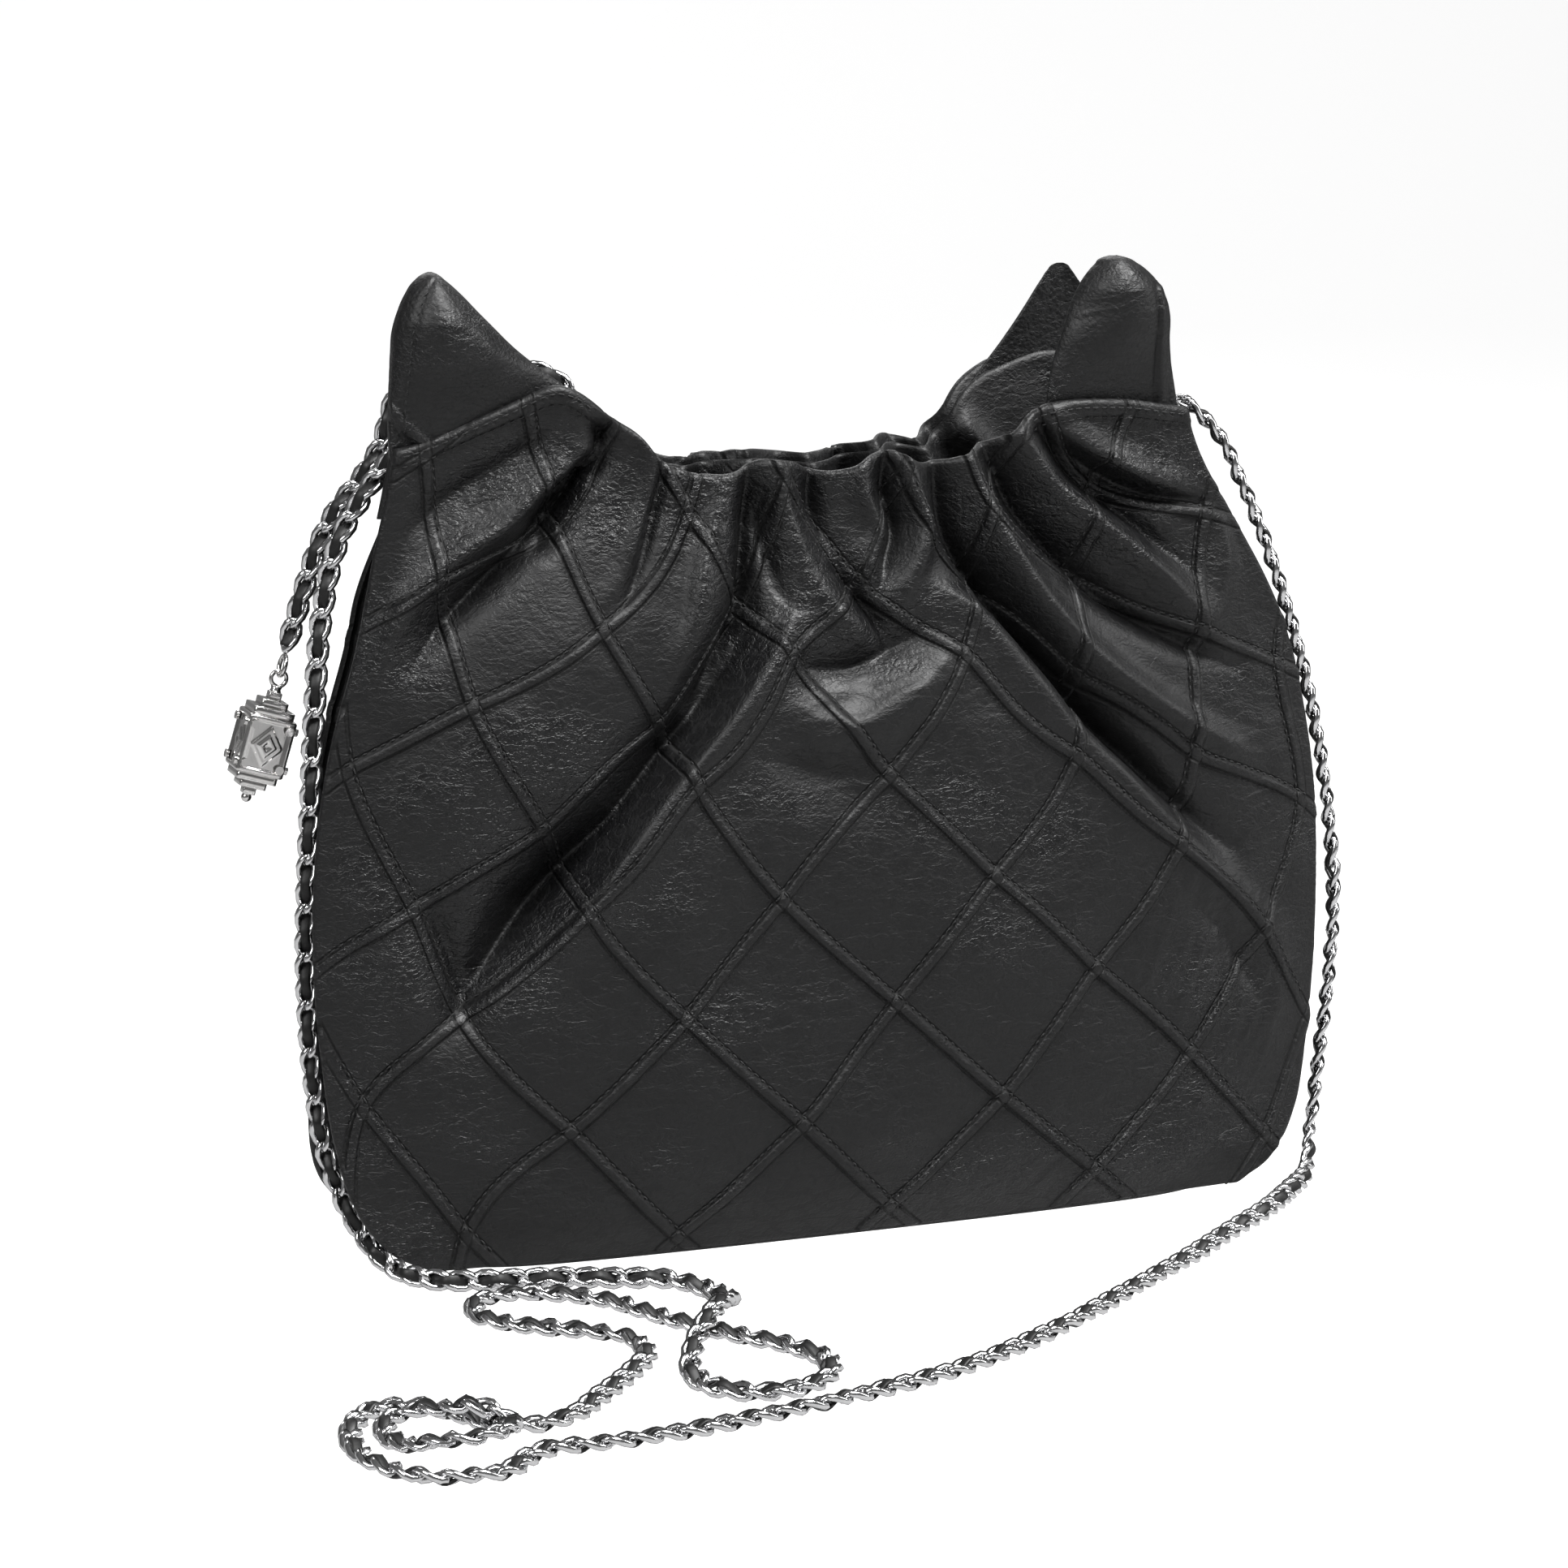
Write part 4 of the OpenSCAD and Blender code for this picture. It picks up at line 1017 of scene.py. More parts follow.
def panel_grid(cols, rows, rim_table, lattice, folds, seed, rear=False):
    """Grid of the folded wall, its lattice counts, and the fold heights alone. A raised band 2.4 mm
    wide runs along the rim under each ear. rear draws the left corner in."""
    s = np.linspace(-1, 1, cols)[:, None]
    top = rim_height(rim_table, s)
    t = np.linspace(0, 1, rows)[None, :]
    z = foot_roll + t * (top - foot_roll)
    base = wall(s, z)
    x = base[..., 0]
    normal = outward(base)
    counts, d, slope = tuck_distance(lattice, x, z)
    flat_edge = ease((1 - np.abs(s)) / 0.10) * ease(z / 14)
    pleats = pleat_height(folds, s, x, z)
    cell = (np.abs(np.sin(np.pi * counts[..., 0])) * np.abs(np.sin(np.pi * counts[..., 1]))) ** 0.6
    soft = 0.9 * cell * flat_edge + crumple(x, z, seed) * (0.25 + 0.75 * flat_edge)
    tuck = np.maximum(tuck_profile(d[..., 0]), tuck_profile(-d[..., 1]))
    knob = bell(d[..., 0], 1.5) * bell(d[..., 1], 1.5) * 0.3
    under_ear = ease((np.abs(x - 0.5 * (x.min() + x.max()) + 6) - 44) / 8)
    band = under_ear * (1 - ease((top - z - 2.2) / 0.7))
    rise = pleats + soft + (tuck + knob) * (0.3 + 0.7 * flat_edge) * (1 - band) + 0.9 * band
    grid = base + normal * rise[..., None]
    if rear:
        grid[..., 0] += rear_pull(z) * ease((-s - 0.1) / 0.9)
    return grid, normal, counts, slope, pleats


front_rim = [(-112, 190), (-107, 190.4), (-99, 192.4), (-88, 197), (-78, 201), (-70, 203.4), (-66, 202.2),
             (-60, 198.4), (-54, 194.3), (-48, 190.5), (-44, 186), (-38, 182.5), (-30, 181),
             (-24, 181.5), (-18, 184), (-12, 183.5), (-4, 180.5), (3, 181), (10, 184), (16, 184.5),
             (21, 181.5), (28, 181.5), (36, 184), (44, 187.5),
             (50, 191.5), (55, 194), (61, 194.9), (70, 195), (80, 194.2), (88, 192.8), (96, 191.5)]
cols, rows = ((300, 292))
front_grid, front_normal, front_counts, front_slope, front_pleats = panel_grid(
    cols, rows, front_rim, front_lattice, front_folds, 11)
print("front grid", front_grid.shape, "folds", round(front_pleats.min(), 1), round(front_pleats.max(), 1))


# %% Turned edges, fields and the finished panel
def closed_panel(grid, normal, counts, slope):
    """The grid with its seams, foot and mouth turned in, and a hem that runs 14 mm down inside. The
    lattice counts and the millimetres for one count are carried out to the new rows unchanged."""
    side_turn = np.radians([25, 50, 75, 100, 125, 150])
    g = curl(grid, normal[-1], seam_roll, side_turn)
    g = curl(g[::-1], normal[0], seam_roll, side_turn)[::-1]
    n = np.pad(normal, ((6, 6), (0, 0), (0, 0)), mode="edge")
    hem = [g[:, -1 - k] - 2 * rim_roll * n[:, -1 - k] for k in (3, 7, 11, 15, 19, 23)]
    g = np.swapaxes(g, 0, 1)
    g = curl(g, n[:, -1], rim_roll, np.radians([22, 45, 67, 90, 112, 135, 157, 180]))
    g = curl(g[::-1], n[:, 0], foot_roll, np.radians([30, 60, 90, 120, 150]))[::-1]
    g = np.concatenate([np.swapaxes(g, 0, 1), np.stack(hem, 1)], 1)
    pad = ((6, 6), (5, 14), (0, 0))
    return g, np.pad(counts, pad, mode="edge"), np.pad(1 / np.maximum(slope, 0.012), pad, mode="edge")


def panel_piece(name, grid, normal, counts, slope, flip):
    """Makes the mesh; a back panel is the same surface with its depth turned round."""
    g, c, step = closed_panel(grid, normal, counts, slope)
    if flip:
        g, c, step = g[::-1] * np.array([1, -1, 1]), c[::-1], step[::-1]
    obj = make_mesh(name, g, grid_faces(*g.shape[:2]), [quilt_leather])
    set_uv(obj, c)
    set_field(obj, "step_up", step[..., 0])
    set_field(obj, "step_down", step[..., 1])
    print(name, len(obj.data.polygons), "faces")
    return obj


front_panel = panel_piece("front_panel_leather", front_grid, front_normal, front_counts, front_slope, False)
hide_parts("front_panel")

# %% [markdown]
# The back has the same pattern but its own pleats. They come from a rule: eleven pleats start evenly
# along the mouth and fan out, ridge and hollow in turn, and three longer folds are listed one by one.

# %% Back panel
back_folds = []
for k in range(-5, 6):
    start, reach = 9.5 * k + 4 * np.sin(2.1 * k), 34 + 14 * np.cos(1.7 * k) + 3.0 * abs(k)
    lean = start / 38
    route = [(start - 4 + lean * r * 0.75 + 2.2 * np.sin(r / 11 + k), 187 - r)
             for r in (0, reach / 3, 2 * reach / 3, reach)]
    tall = 4.2 + 0.9 * np.sin(3.3 * k)
    back_folds.append(([0.7 * tall, tall, 0.75 * tall, 0], 3.6, 4.2, route))
    hollow = [(a + 4.7 + 0.05 * (187 - b), b - 1) for a, b in route]
    back_folds.append(([-0.6 * tall, -tall, -0.8 * tall, 0], 3.2, 3.0, hollow))
back_folds.append(([0, -3, -4, -3, 0], 4, 6, [(62, 164), (80, 138), (93, 112), (100, 84), (104, 60)]))
back_folds.append(([0, 2, 2.6, 1.6, 0], 5, 3, [(56, 158), (72, 134), (84, 108), (92, 80), (95, 60)]))
back_folds.append(([0, -3, -4, -2, 0], 6, 4, [(-58, 160), (-76, 134), (-92, 112), (-103, 96)]))
back_rim = [(-112, 190), (-95, 192), (-80, 196), (-66, 198), (-58, 195), (-50, 189), (-40, 184), (-26, 182),
            (-14, 183), (0, 181.5), (12, 182), (24, 185), (33, 184), (39, 188), (45, 195), (53, 200.4),
            (60, 203.2), (70, 205.5), (82, 203), (96, 196)]
back_cols, back_rows = ((240, 230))
back_parts = panel_grid(back_cols, back_rows, back_rim, back_lattice, back_folds, 31, True)
back_panel = panel_piece("back_panel_leather", *back_parts[:4], True)
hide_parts("back_panel")

# %% [markdown]
# ## Side strips and ears
# The side strips fold inwards like a bellows. Each ear is two layers of plain leather turned at the
# edge, so its section is a flat oval that narrows to a rounded tip. The ear's outline is a table of
# its left and right edges at a height, and its middle surface cups forwards a little.

# %% Side strips
def gusset(name, side, node, seed):
    """A grid over height and the share of the depth; it folds inwards by a parabola in that share."""
    z = np.linspace(0.4, 187, 150)[:, None]
    q = np.linspace(-1, 1, 70)[None, :]
    half = half_d(1.0, z) - 0.9
    fold = smooth(fold_line, z) * (1 - np.abs(q) ** 1.7)
    dent = crumple(z * 1.3, q * 30, seed) * 0.7 * (1 - q ** 6)
    x = slouch_at(z) + side * (half_w(z) - 0.6 - fold + dent)
    if side < 0:
        x = x + rear_pull(z) * ease((q + 1) / 2)
    g = xyz(x, q * half, z + 1.5 * bell(z - 187, 6) * np.cos(q * 5))
    g = g if side < 0 else g[:, ::-1]
    obj = make_mesh(name, g, grid_faces(*g.shape[:2]), [black_leather])
    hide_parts(node)
    print(name, len(obj.data.polygons), "faces")


gusset("left_side_strip", -1, "left_gusset", 51)
gusset("right_side_strip", 1, "right_gusset", 61)

# %% [markdown]
# A row of small stitches runs beside every tuck. Each one is real geometry of a few dozen faces: a
# lens of thread that sinks at both ends. Points that step along a tuck on the flat pattern give the
# places, and the folded grid gives the height and the direction of each.

# %% Stitches
def stitch_shape():
    """A short lens of thread: five rings of six points whose radius falls off as a cosine, and which
    sink at both ends into their holes."""
    u = np.linspace(-1, 1, 5)[:, None]
    a = np.linspace(0, 2 * np.pi, 6, endpoint=False)[None, :]
    r = 0.22 * (0.25 + 0.75 * np.cos(u * 1.35))
    points = xyz(0.78 * u, r * np.cos(a), r * np.sin(a) + 0.12 - 0.22 * u ** 2)
    faces = grid_faces(5, 6, False, True).tolist() + [list(range(5, -1, -1)), list(range(24, 30))]
    return points.reshape(-1, 3), faces


stitch_points, stitch_faces = stitch_shape()


def stitches(name, at, ahead, up):
    """One mesh of many stitches: each is the same shape set along its own direction and normal."""
    ahead = unit(ahead - (ahead * up).sum(-1, keepdims=True) * up)
    side = np.cross(up, ahead)
    points = (at[:, None] + stitch_points[None, :, 0:1] * ahead[:, None]
              + stitch_points[None, :, 1:2] * side[:, None] + stitch_points[None, :, 2:3] * up[:, None])
    faces = [[v + k * len(stitch_points) for v in f] for k in range(len(at)) for f in stitch_faces]
    obj = make_mesh(name, points, faces, [thread])
    print(name, len(at), "stitches")
    return obj


def on_grid(grid, s, t):
    """The point of a grid at a share across from -1 to 1 and a share up from 0 to 1."""
    i = np.clip((s + 1) / 2 * (grid.shape[0] - 1), 0, grid.shape[0] - 1.001)
    j = np.clip(t * (grid.shape[1] - 1), 0, grid.shape[1] - 1.001)
    a, b = i.astype(int), j.astype(int)
    u, v = (i - a)[:, None], (j - b)[:, None]
    return ((grid[a, b] * (1 - u) + grid[a + 1, b] * u) * (1 - v)
            + (grid[a, b + 1] * (1 - u) + grid[a + 1, b + 1] * u) * v)


def tuck_rows(lattice, rim_table, pitch=2.3, beside_tuck=1.62):
    """Walks along every tuck with steps of one stitch. Each walker stands on the line beside its tuck
    where the count is the whole number plus the offset times the slope; it steps square to the slope
    and is then drawn back on to the line."""
    found = []
    gx, gz = np.meshgrid(np.linspace(-112, 108, 56), np.linspace(12, 176, 42), indexing="ij")
    inside = np.abs(gx - slouch_at(gz)) < 0.93 * half_w(gz)
    for family, side in ((0, 1.0), (1, -1.0)):
        def level(x, z):
            here = lattice(x, z)[..., family]
            gx_, gz_ = lattice(x + 0.5, z)[..., family] - here, lattice(x, z + 0.5)[..., family] - here
            slope = np.hypot(gx_, gz_) / 0.5
            return here - side * beside_tuck * slope, gx_ / 0.5, gz_ / 0.5, np.maximum(slope, 0.012)

        coarse = np.where(inside, level(gx, gz)[0], 1e3)
        whole = np.arange(np.ceil(coarse.min()), np.floor(coarse[inside].max()) + 1)
        seeds = [np.unravel_index(np.argmin(np.abs(coarse - k)), coarse.shape) for k in whole]
        for way in (1.0, -1.0):
            x = np.array([gx[i] for i in seeds]) + 0.0
            z = np.array([gz[i] for i in seeds]) + 0.0
            alive = np.ones(len(whole), bool)
            for step in range(130):
                for _ in range(3 if step == 0 else 2):
                    value, dx, dz, slope = level(x, z)
                    fix = np.clip((value - whole) / slope, -3, 3) / slope
                    x, z = x - fix * dx, z - fix * dz
                s = (x - slouch_at(z)) / half_w(z)
                top = rim_height(rim_table, s)
                alive &= (np.abs(s) < 0.975) & (z > 5) & (z < top - 4) & (np.abs(value - whole) < 0.05)
                keep = alive & (step > 0 or way > 0)
                t = (z - foot_roll) / (top - foot_roll)
                line = np.stack([s, t, way * dz / slope, -way * dx / slope, x, z], 1)
                found.append(line[keep])
                if not alive.any():
                    break
                x, z = x + way * pitch * dz / slope, z - way * pitch * dx / slope
    return np.concatenate(found)


def panel_stitches(name, grid, lattice, rim_table, flip):
    """Stitches beside every tuck of a panel, and two rows on the raised band under each ear."""
    rows = tuck_rows(lattice, rim_table)
    s, t = rows[:, 0], rows[:, 1]
    ahead_s = (rows[:, 4] + rows[:, 2] - slouch_at(rows[:, 5] + rows[:, 3])) / half_w(rows[:, 5] + rows[:, 3])
    top = rim_height(rim_table, ahead_s)
    ahead_t = (rows[:, 5] + rows[:, 3] - foot_roll) / (top - foot_roll)
    for low, high in ((-0.985, -0.56), (0.6, 0.985)):
        more = np.linspace(low, high, 2 + int((high - low) * 98 / 2.3))
        for drop in (0.4, 2.9):
            edge = rim_height(rim_table, more)
            s, t = np.append(s, more), np.append(t, 1 - drop / (edge - foot_roll))
            ahead_s = np.append(ahead_s, more + 0.01)
            ahead_t = np.append(ahead_t, 1 - drop / (rim_height(rim_table, more + 0.01) - foot_roll))
    normal = outward(grid)
    at, up = on_grid(grid, s, t), unit(on_grid(normal, s, t))
    ahead = on_grid(grid, ahead_s, ahead_t) - at
    if flip:
        turn = np.array([1, -1, 1])
        at, ahead, up = at * turn, ahead * turn, up * turn
    return stitches(name, at, ahead, up)


panel_stitches("front_panel_thread", front_grid, front_lattice, front_rim, False)
panel_stitches("back_panel_thread", back_parts[0], back_lattice, back_rim, True)

# %% Ears
ear_rings, ear_round = 110, 120  # points up an ear and round it


def ear(name, node, outline, front_y, lean, cup, facing, seed, rolls=(0.5, 0.8), tuck=None, thick=2.0,
        sewn=()):
    """A closed shell. Up the ear the outline gives the left and right edge; round it the angle gives
    the share across as half of one minus its cosine and the thickness as a root of its sine, a flat
    edge for a small root and a soft one near 1. It fills out over the first 22 mm above the mouth's
    edge; below that it is thin and drawn in behind the panel. facing is -1 on the front and 1 on the
    back. sewn lists the edges with a row of stitches, -1 for the left and 1 for the right."""
    rim_table = front_rim if facing < 0 else back_rim
    rows_up = np.asarray(outline, float)
    low, high = rows_up[0, 0], rows_up[-1, 0]

    def surface(v, a):
        z = low + (high - low) * (1 - (1 - v) ** 1.5)
        left, right = smooth(rows_up[:, [0, 1]], z), smooth(rows_up[:, [0, 2]], z)
        across = 0.5 - 0.5 * np.cos(a)
        x = left + (right - left) * across
        body = np.clip((right - left) / 21, 0.03, 1) ** 0.75
        root = rolls[0] + (rolls[1] - rolls[0]) * across
        depth = thick * np.sign(np.sin(a)) * np.abs(np.sin(a)) ** root * body
        up = (z - low) / (high - low)
        above = z - smooth(rim_table, x)
        puff = ease((above + 4) / 26)
        depth = depth * (0.5 + 0.5 * puff)
        bow = cup * (1 - (2 * across - 1) ** 2) * puff * body + lean * np.clip(up, 0, 1) ** 1.5
        inner = across if outline[0][1] < 0 else 1 - across
        tuck_in = 5.5 if facing < 0 else 0.8
        bow = bow - tuck_in * (1 - ease((above + 7) / 7)) * (0.25 + 0.75 * inner)
        turn = 0.5 * noise(x / 30, z / 30, seed + 2)
        wave = (1 - np.abs(noise((x + z * turn) / 9, (z - x * (0.5 + turn)) / 2.6, seed + 3))) ** 2 - 0.35
        dents = 0.8 * noise(x / 15, z / 17, seed) + 0.3 * noise(x / 7, z / 9, seed + 1) + 0.2 * wave
        bow = bow + dents * puff * body
        from_edge = {-1: across, 1: 1 - across}
        seam_step = sum(0.3 * bell(from_edge[k] * (right - left) - 3.2, 0.8) for k in sewn) + 0 * across
        if tuck is not None:
            d, _ = beside(tuck, x, z)
            depth = depth + np.where(depth > 0, tuck_profile(d) * 0.8, 0) * ease((4 * body - 1) / 2)
        y = facing * (front_y + bow + depth - seam_step * np.sign(depth))
        return xyz(x, y, z)

    v = np.linspace(0, 1, ear_rings)[:, None]
    a = np.linspace(0, 2 * np.pi, ear_round, endpoint=False)[None, :]
    g = surface(v, a)
    g = g[:, ::-1] if facing > 0 else g
    faces = grid_faces(ear_rings, ear_round, False, True)[:, ::-1].tolist()
    last = (ear_rings - 1) * ear_round
    caps = [tuple(range(ear_round)), tuple(last + k for k in range(ear_round - 1, -1, -1))]
    obj = make_mesh(name, g, faces + caps, [ear_leather])
    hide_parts(node)
    edge = np.linspace(0.12, 0.8, 200)
    spots, turns, normals = [], [], []
    for k in sewn:
        z = low + (high - low) * (1 - (1 - edge) ** 1.5)
        wide = smooth(rows_up[:, [0, 2]], z) - smooth(rows_up[:, [0, 1]], z)
        share = 3.1 / np.maximum(wide, 8)
        angle = np.arccos(1 - 2 * np.clip(share if k < 0 else 1 - share, 0, 1))
        line = surface(edge, angle)
        run = np.concatenate([[0], np.cumsum(np.linalg.norm(np.diff(line, axis=0), axis=1))])
        even = np.arange(1, run[-1], 2.3)
        pick = np.interp(even, run, edge), np.interp(even, run, angle)
        here = surface(*pick)
        ahead = surface(pick[0] + 0.004, np.interp(even + 0.3, run, angle)) - here
        round_it = surface(pick[0], pick[1] + 0.02) - here
        spots.append(here)
        turns.append(ahead)
        normals.append(unit(np.cross(round_it, ahead)))
    if sewn:
        normals = np.concatenate(normals)
        normals = normals * np.where(normals[:, 1:2] * facing < 0, -1, 1)
        stitches(name.replace("leather", "thread"), np.concatenate(spots), np.concatenate(turns), normals)
    print(name, len(obj.data.polygons), "faces")


ear(
    "front_left_ear_leather", "front_left_ear",
    [(185, -107.4, -58), (191, -107.8, -58.5), (198, -107.9, -60.5), (203.5, -107.7, -65.5),
     (208, -107.4, -71.6), (213, -107.1, -77.8), (218, -106.6, -83), (222, -105.4, -87),
     (226, -103.6, -90.8), (229, -101.4, -94.2),
     (230.6, -99.2, -96.4), (231, -98.2, -97.4)], 14.2, 0.5, 6.0, -1, 71, (0.45, 0.85),
    [(-111, 204), (-106.5, 199), (-103, 195.2), (-98.5, 191), (-93, 185)], 4.2, (-1,))
ear(
    "front_right_ear_leather", "front_right_ear",
    [(185, 52, 89), (191, 53, 88), (198, 53.4, 86.6), (204, 54.4, 85.4), (210, 56.2, 84.7), (216, 58.2, 84.4),
     (221, 60.2, 82.6), (225, 62.4, 79.6), (228, 65, 75.8), (229.6, 67, 72.4), (230, 68.6, 70.6)],
    14.2, 1.0, 5.5, -1, 75, (0.9, 0.6),
    [(80.6, 222), (81.3, 210), (81.9, 202.4), (82.8, 194), (83.2, 186)], 3.0)
ear(
    "back_right_ear_leather", "back_right_ear",
    [(184, 42, 88), (192, 43, 87.6), (197, 45.6, 86.6), (202, 49.4, 85), (208, 54.2, 82.4), (213, 57.8, 79.6),
     (218, 61.2, 76.4), (222, 63.9, 73.6), (224.6, 65.8, 71.6), (225.6, 66.8, 70.7),
     (226, 67.9, 69.8)], 14.9, -1.0, 2.0, 1, 79,
    (0.5, 0.5), None, 1.7)
ear(
    "back_left_ear_leather", "back_left_ear",
    [(184, -93, -60), (193, -93, -60.5), (197, -92, -62), (201, -90, -66), (204.6, -87, -71),
     (207.4, -84, -76), (208.6, -81.6, -79)], 14.9, -2.0, 1.6, 1, 83, (0.5, 0.5), None, 1.7)

# %% [markdown]
# ## Inside the bag
# The mouth is faced with a band of leather that hides the elastic in its casing; under it hangs a
# cloth lining. They are sewn to the panels, so they go into every pleat with them. Each of these
# layers is the wall moved inwards by its own distance and by the same pleats, a little smoother, with
# a rounded edge all round.

# %% Layers that follow the panels
def shell(name, outer, inner, material, node):
    """A closed thin sheet: its outer and inner grids joined all round the edge."""
    g = np.concatenate([outer, inner[:, ::-1]], 1)
    faces = grid_faces(*g.shape[:2], False, True)
    n = g.shape[1]
    half = n // 2
    caps = []
    for row, flip in ((0, False), (g.shape[0] - 1, True)):
        for k in range(half - 1):
            quad = [row * n + k, row * n + k + 1, row * n + n - 2 - k, row * n + n - 1 - k]
            caps.append(quad[::-1] if flip else quad)
    obj = make_mesh(name, g, faces.tolist() + caps, [material])
    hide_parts(node)
    print(name, len(obj.data.polygons), "faces")


def layer(name, node, folds, reach, low, high, inwards, thick, material, flip, seed, near_snap=1.0,
          grid=(120, 60)):
    """A sheet between two heights at a distance inside the wall. The heights may be functions of the
    share across. Its pleats die out over the snap, which is riveted through it."""
    s = np.linspace(-reach, reach, grid[0])[:, None]
    t = np.linspace(0, 1, grid[1])[None, :]
    z0, z1 = (h(s) if callable(h) else h for h in (low, high))
    z = z0 + (z1 - z0) * t
    base = wall(s, z)
    normal = outward(base)
    x = base[..., 0]
    hold = 1 - near_snap * bell(np.hypot(x - snap_place[0], z - snap_place[1]), 9)
    ripple = 0.25 * noise(x / 17, z / 13, seed) + 0.12 * noise(x / 6, z / 7, seed + 1)
    rise = pleat_height(folds, s, x, z) * hold + ripple
    from_edge = ease((1 - np.abs(2 * t - 1)) / 0.06) * ease((reach - np.abs(s)) / reach / 0.03)
    thin = thick * (0.35 + 0.65 * from_edge)
    outer = base + normal * (rise - inwards)[..., None]
    inner = base + normal * (rise - inwards - thin)[..., None]
    for g in (outer, inner):
        g[..., 0] += (rear_pull(z) if flip else 0) * ease((-s - 0.1) / 0.9)
    if flip:
        outer, inner = (g[::-1] * np.array([1, -1, 1]) for g in (outer, inner))
    shell(name, outer, inner, material, node)


def below_rim(rim_table, drop):
    """A height that stays a fixed drop under the mouth's edge."""
    return lambda s: rim_height(rim_table, s) - drop


sides = (("front", front_folds, front_rim, False, 3.0), ("back", back_folds, back_rim, True, 3.8))
for k, (side, folds, rim_table, flip, _) in enumerate(sides):
    layer(side + "_facing_leather", side + "_facing", folds, 0.88, 156, below_rim(rim_table, 0.6),
          3.9, 1.0, black_leather, flip, 101 + 2 * k)
for side, folds, rim_table, flip, _ in sides:
    layer(side + "_elastic_band", side + "_elastic", folds, 0.37, below_rim(rim_table, 10),
          below_rim(rim_table, 4), 3.2, 0.5, webbing, flip, 105, 0.7, (160, 12))
for k, (side, folds, _, flip, lining_in) in enumerate(sides):
    layer(side + "_lining_cloth", side + "_lining", folds, 0.95, 7, 155.6, lining_in, 0.8,
          lining_cloth, flip, 107 + 2 * k, 0.3)
layer("pocket_bag_cloth", "pocket_bag", back_folds, 0.42, 48, 126, 2.4, 0.8, lining_cloth, True, 111,
      0.0, (60, 50))


def side_lining(name, side, node, seed):
    """The cloth behind a side strip, which folds in with it."""
    z = np.linspace(7, 186, 90)[:, None]
    q = np.linspace(-0.8, 0.8, 40)[None, :]
    half = half_d(1.0, z) - 0.9
    inset = smooth(fold_line, z) * (1 - np.abs(q) ** 1.7) + 0.3 * noise(z / 14, q * 3, seed)
    pull = (rear_pull(z) if side < 0 else 0) * ease((q + 1) / 2)
    sheets = [xyz(slouch_at(z) + side * (half_w(z) - inset - more) + pull, q * half, z)
              for more in (2.4, 3.2)]
    if side > 0:
        sheets = [g[:, ::-1] for g in sheets]
    shell(name, *sheets, lining_cloth, node)


side_lining("left_lining_cloth", -1, "left_lining", 113)
side_lining("right_lining_cloth", 1, "right_lining", 115)

# %% [markdown]
# The pocket in the back lining has a zip behind a leather welt, and a small leather patch is sewn
# above it. The welt and the tape are frames round a slot: a loop of shares across and heights, joined
# to a larger loop by a flat section with round edges. The zip's teeth are small cast pegs in two rows
# that close into each other.

# %% Pocket zip and patch
zip_height, zip_share = 122.0, 90.0 / 254.0


def wall_normal(s, z):
    """The front wall's outward direction, from two short steps on it."""
    across = wall(s + 1e-3, z) - wall(s - 1e-3, z)
    return unit(np.cross(across, wall(s, z + 0.1) - wall(s, z - 0.1)))


def slotted(name, node, reach, width, slot_reach, slot_width, inwards, thick, material):
    """A frame on the back wall. Round the loop the power curve of order 10 gives a rectangle with
    round corners; over the section b turns once, from the outer edge to the slot's edge and back."""
    a = np.linspace(0, 2 * np.pi, 200, endpoint=False)[:, None]
    b = np.linspace(0, 2 * np.pi, 14, endpoint=False)[None, :]
    c, d = np.cos(a), np.sin(a)
    r = (np.abs(c) ** 10 + np.abs(d) ** 10) ** -0.1
    out = 0.5 + 0.5 * np.sign(np.cos(b)) * np.abs(np.cos(b)) ** 0.3
    s = r * c * (slot_reach + (reach - slot_reach) * out)
    z = zip_height + r * d * (slot_width + (width - slot_width) * out) / 2
    puff = 0.5 * thick * np.sign(np.sin(b)) * np.abs(np.sin(b)) ** 0.5 + 0.1 * noise(s * 20, z / 4, 131)
    g = wall(s, z) + wall_normal(s, z) * (puff - inwards - thick / 2)[..., None]
    obj = make_mesh(name, g * np.array([1, -1, 1]), grid_faces(200, 14, True, True)[:, ::-1], [material])
    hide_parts(node)
    print(name, len(obj.data.polygons), "faces")


slotted("pocket_welt_leather", "pocket_welt", zip_share + 0.06, 18, zip_share + 0.015, 7, 5.8, 1.0,
        black_leather)
slotted("zip_tape_cloth", "zip_tape", zip_share + 0.045, 14, zip_share + 0.01, 2.2, 5.0, 0.6, tape_cloth)
layer("inner_patch_leather", "inner_patch", back_folds, 0.16, 134, 150, 5.0, 1.0, black_leather, True,
      133, 0.0, (40, 30))

# %% Zip teeth
peg_count, peg_radius, peg_half, peg_offset, peg_in = 75, 0.55, 0.85, 0.38, 5.5
tooth_z = np.linspace(-1, 1, 4)[:, None]
tooth_a = np.linspace(0, 2 * np.pi, 8, endpoint=False)[None, :]
tooth_r = peg_radius * np.array([0.45, 1, 1, 0.45])[:, None]
tooth = xyz(tooth_r * np.cos(tooth_a), tooth_r * np.sin(tooth_a), peg_half * tooth_z).reshape(-1, 3)
tooth_faces = grid_faces(4, 8, False, True)[:, ::-1].tolist() + [list(range(8)), list(range(31, 23, -1))]
tooth_s = np.linspace(-zip_share, zip_share, peg_count)
tooth_h = zip_height + peg_offset * (-1.0) ** np.arange(peg_count)
seat = (wall(tooth_s, tooth_h) - peg_in * wall_normal(tooth_s, tooth_h)) * np.array([1, -1, 1])
peg_faces = [[v + len(tooth) * k for v in f] for k in range(peg_count) for f in tooth_faces]
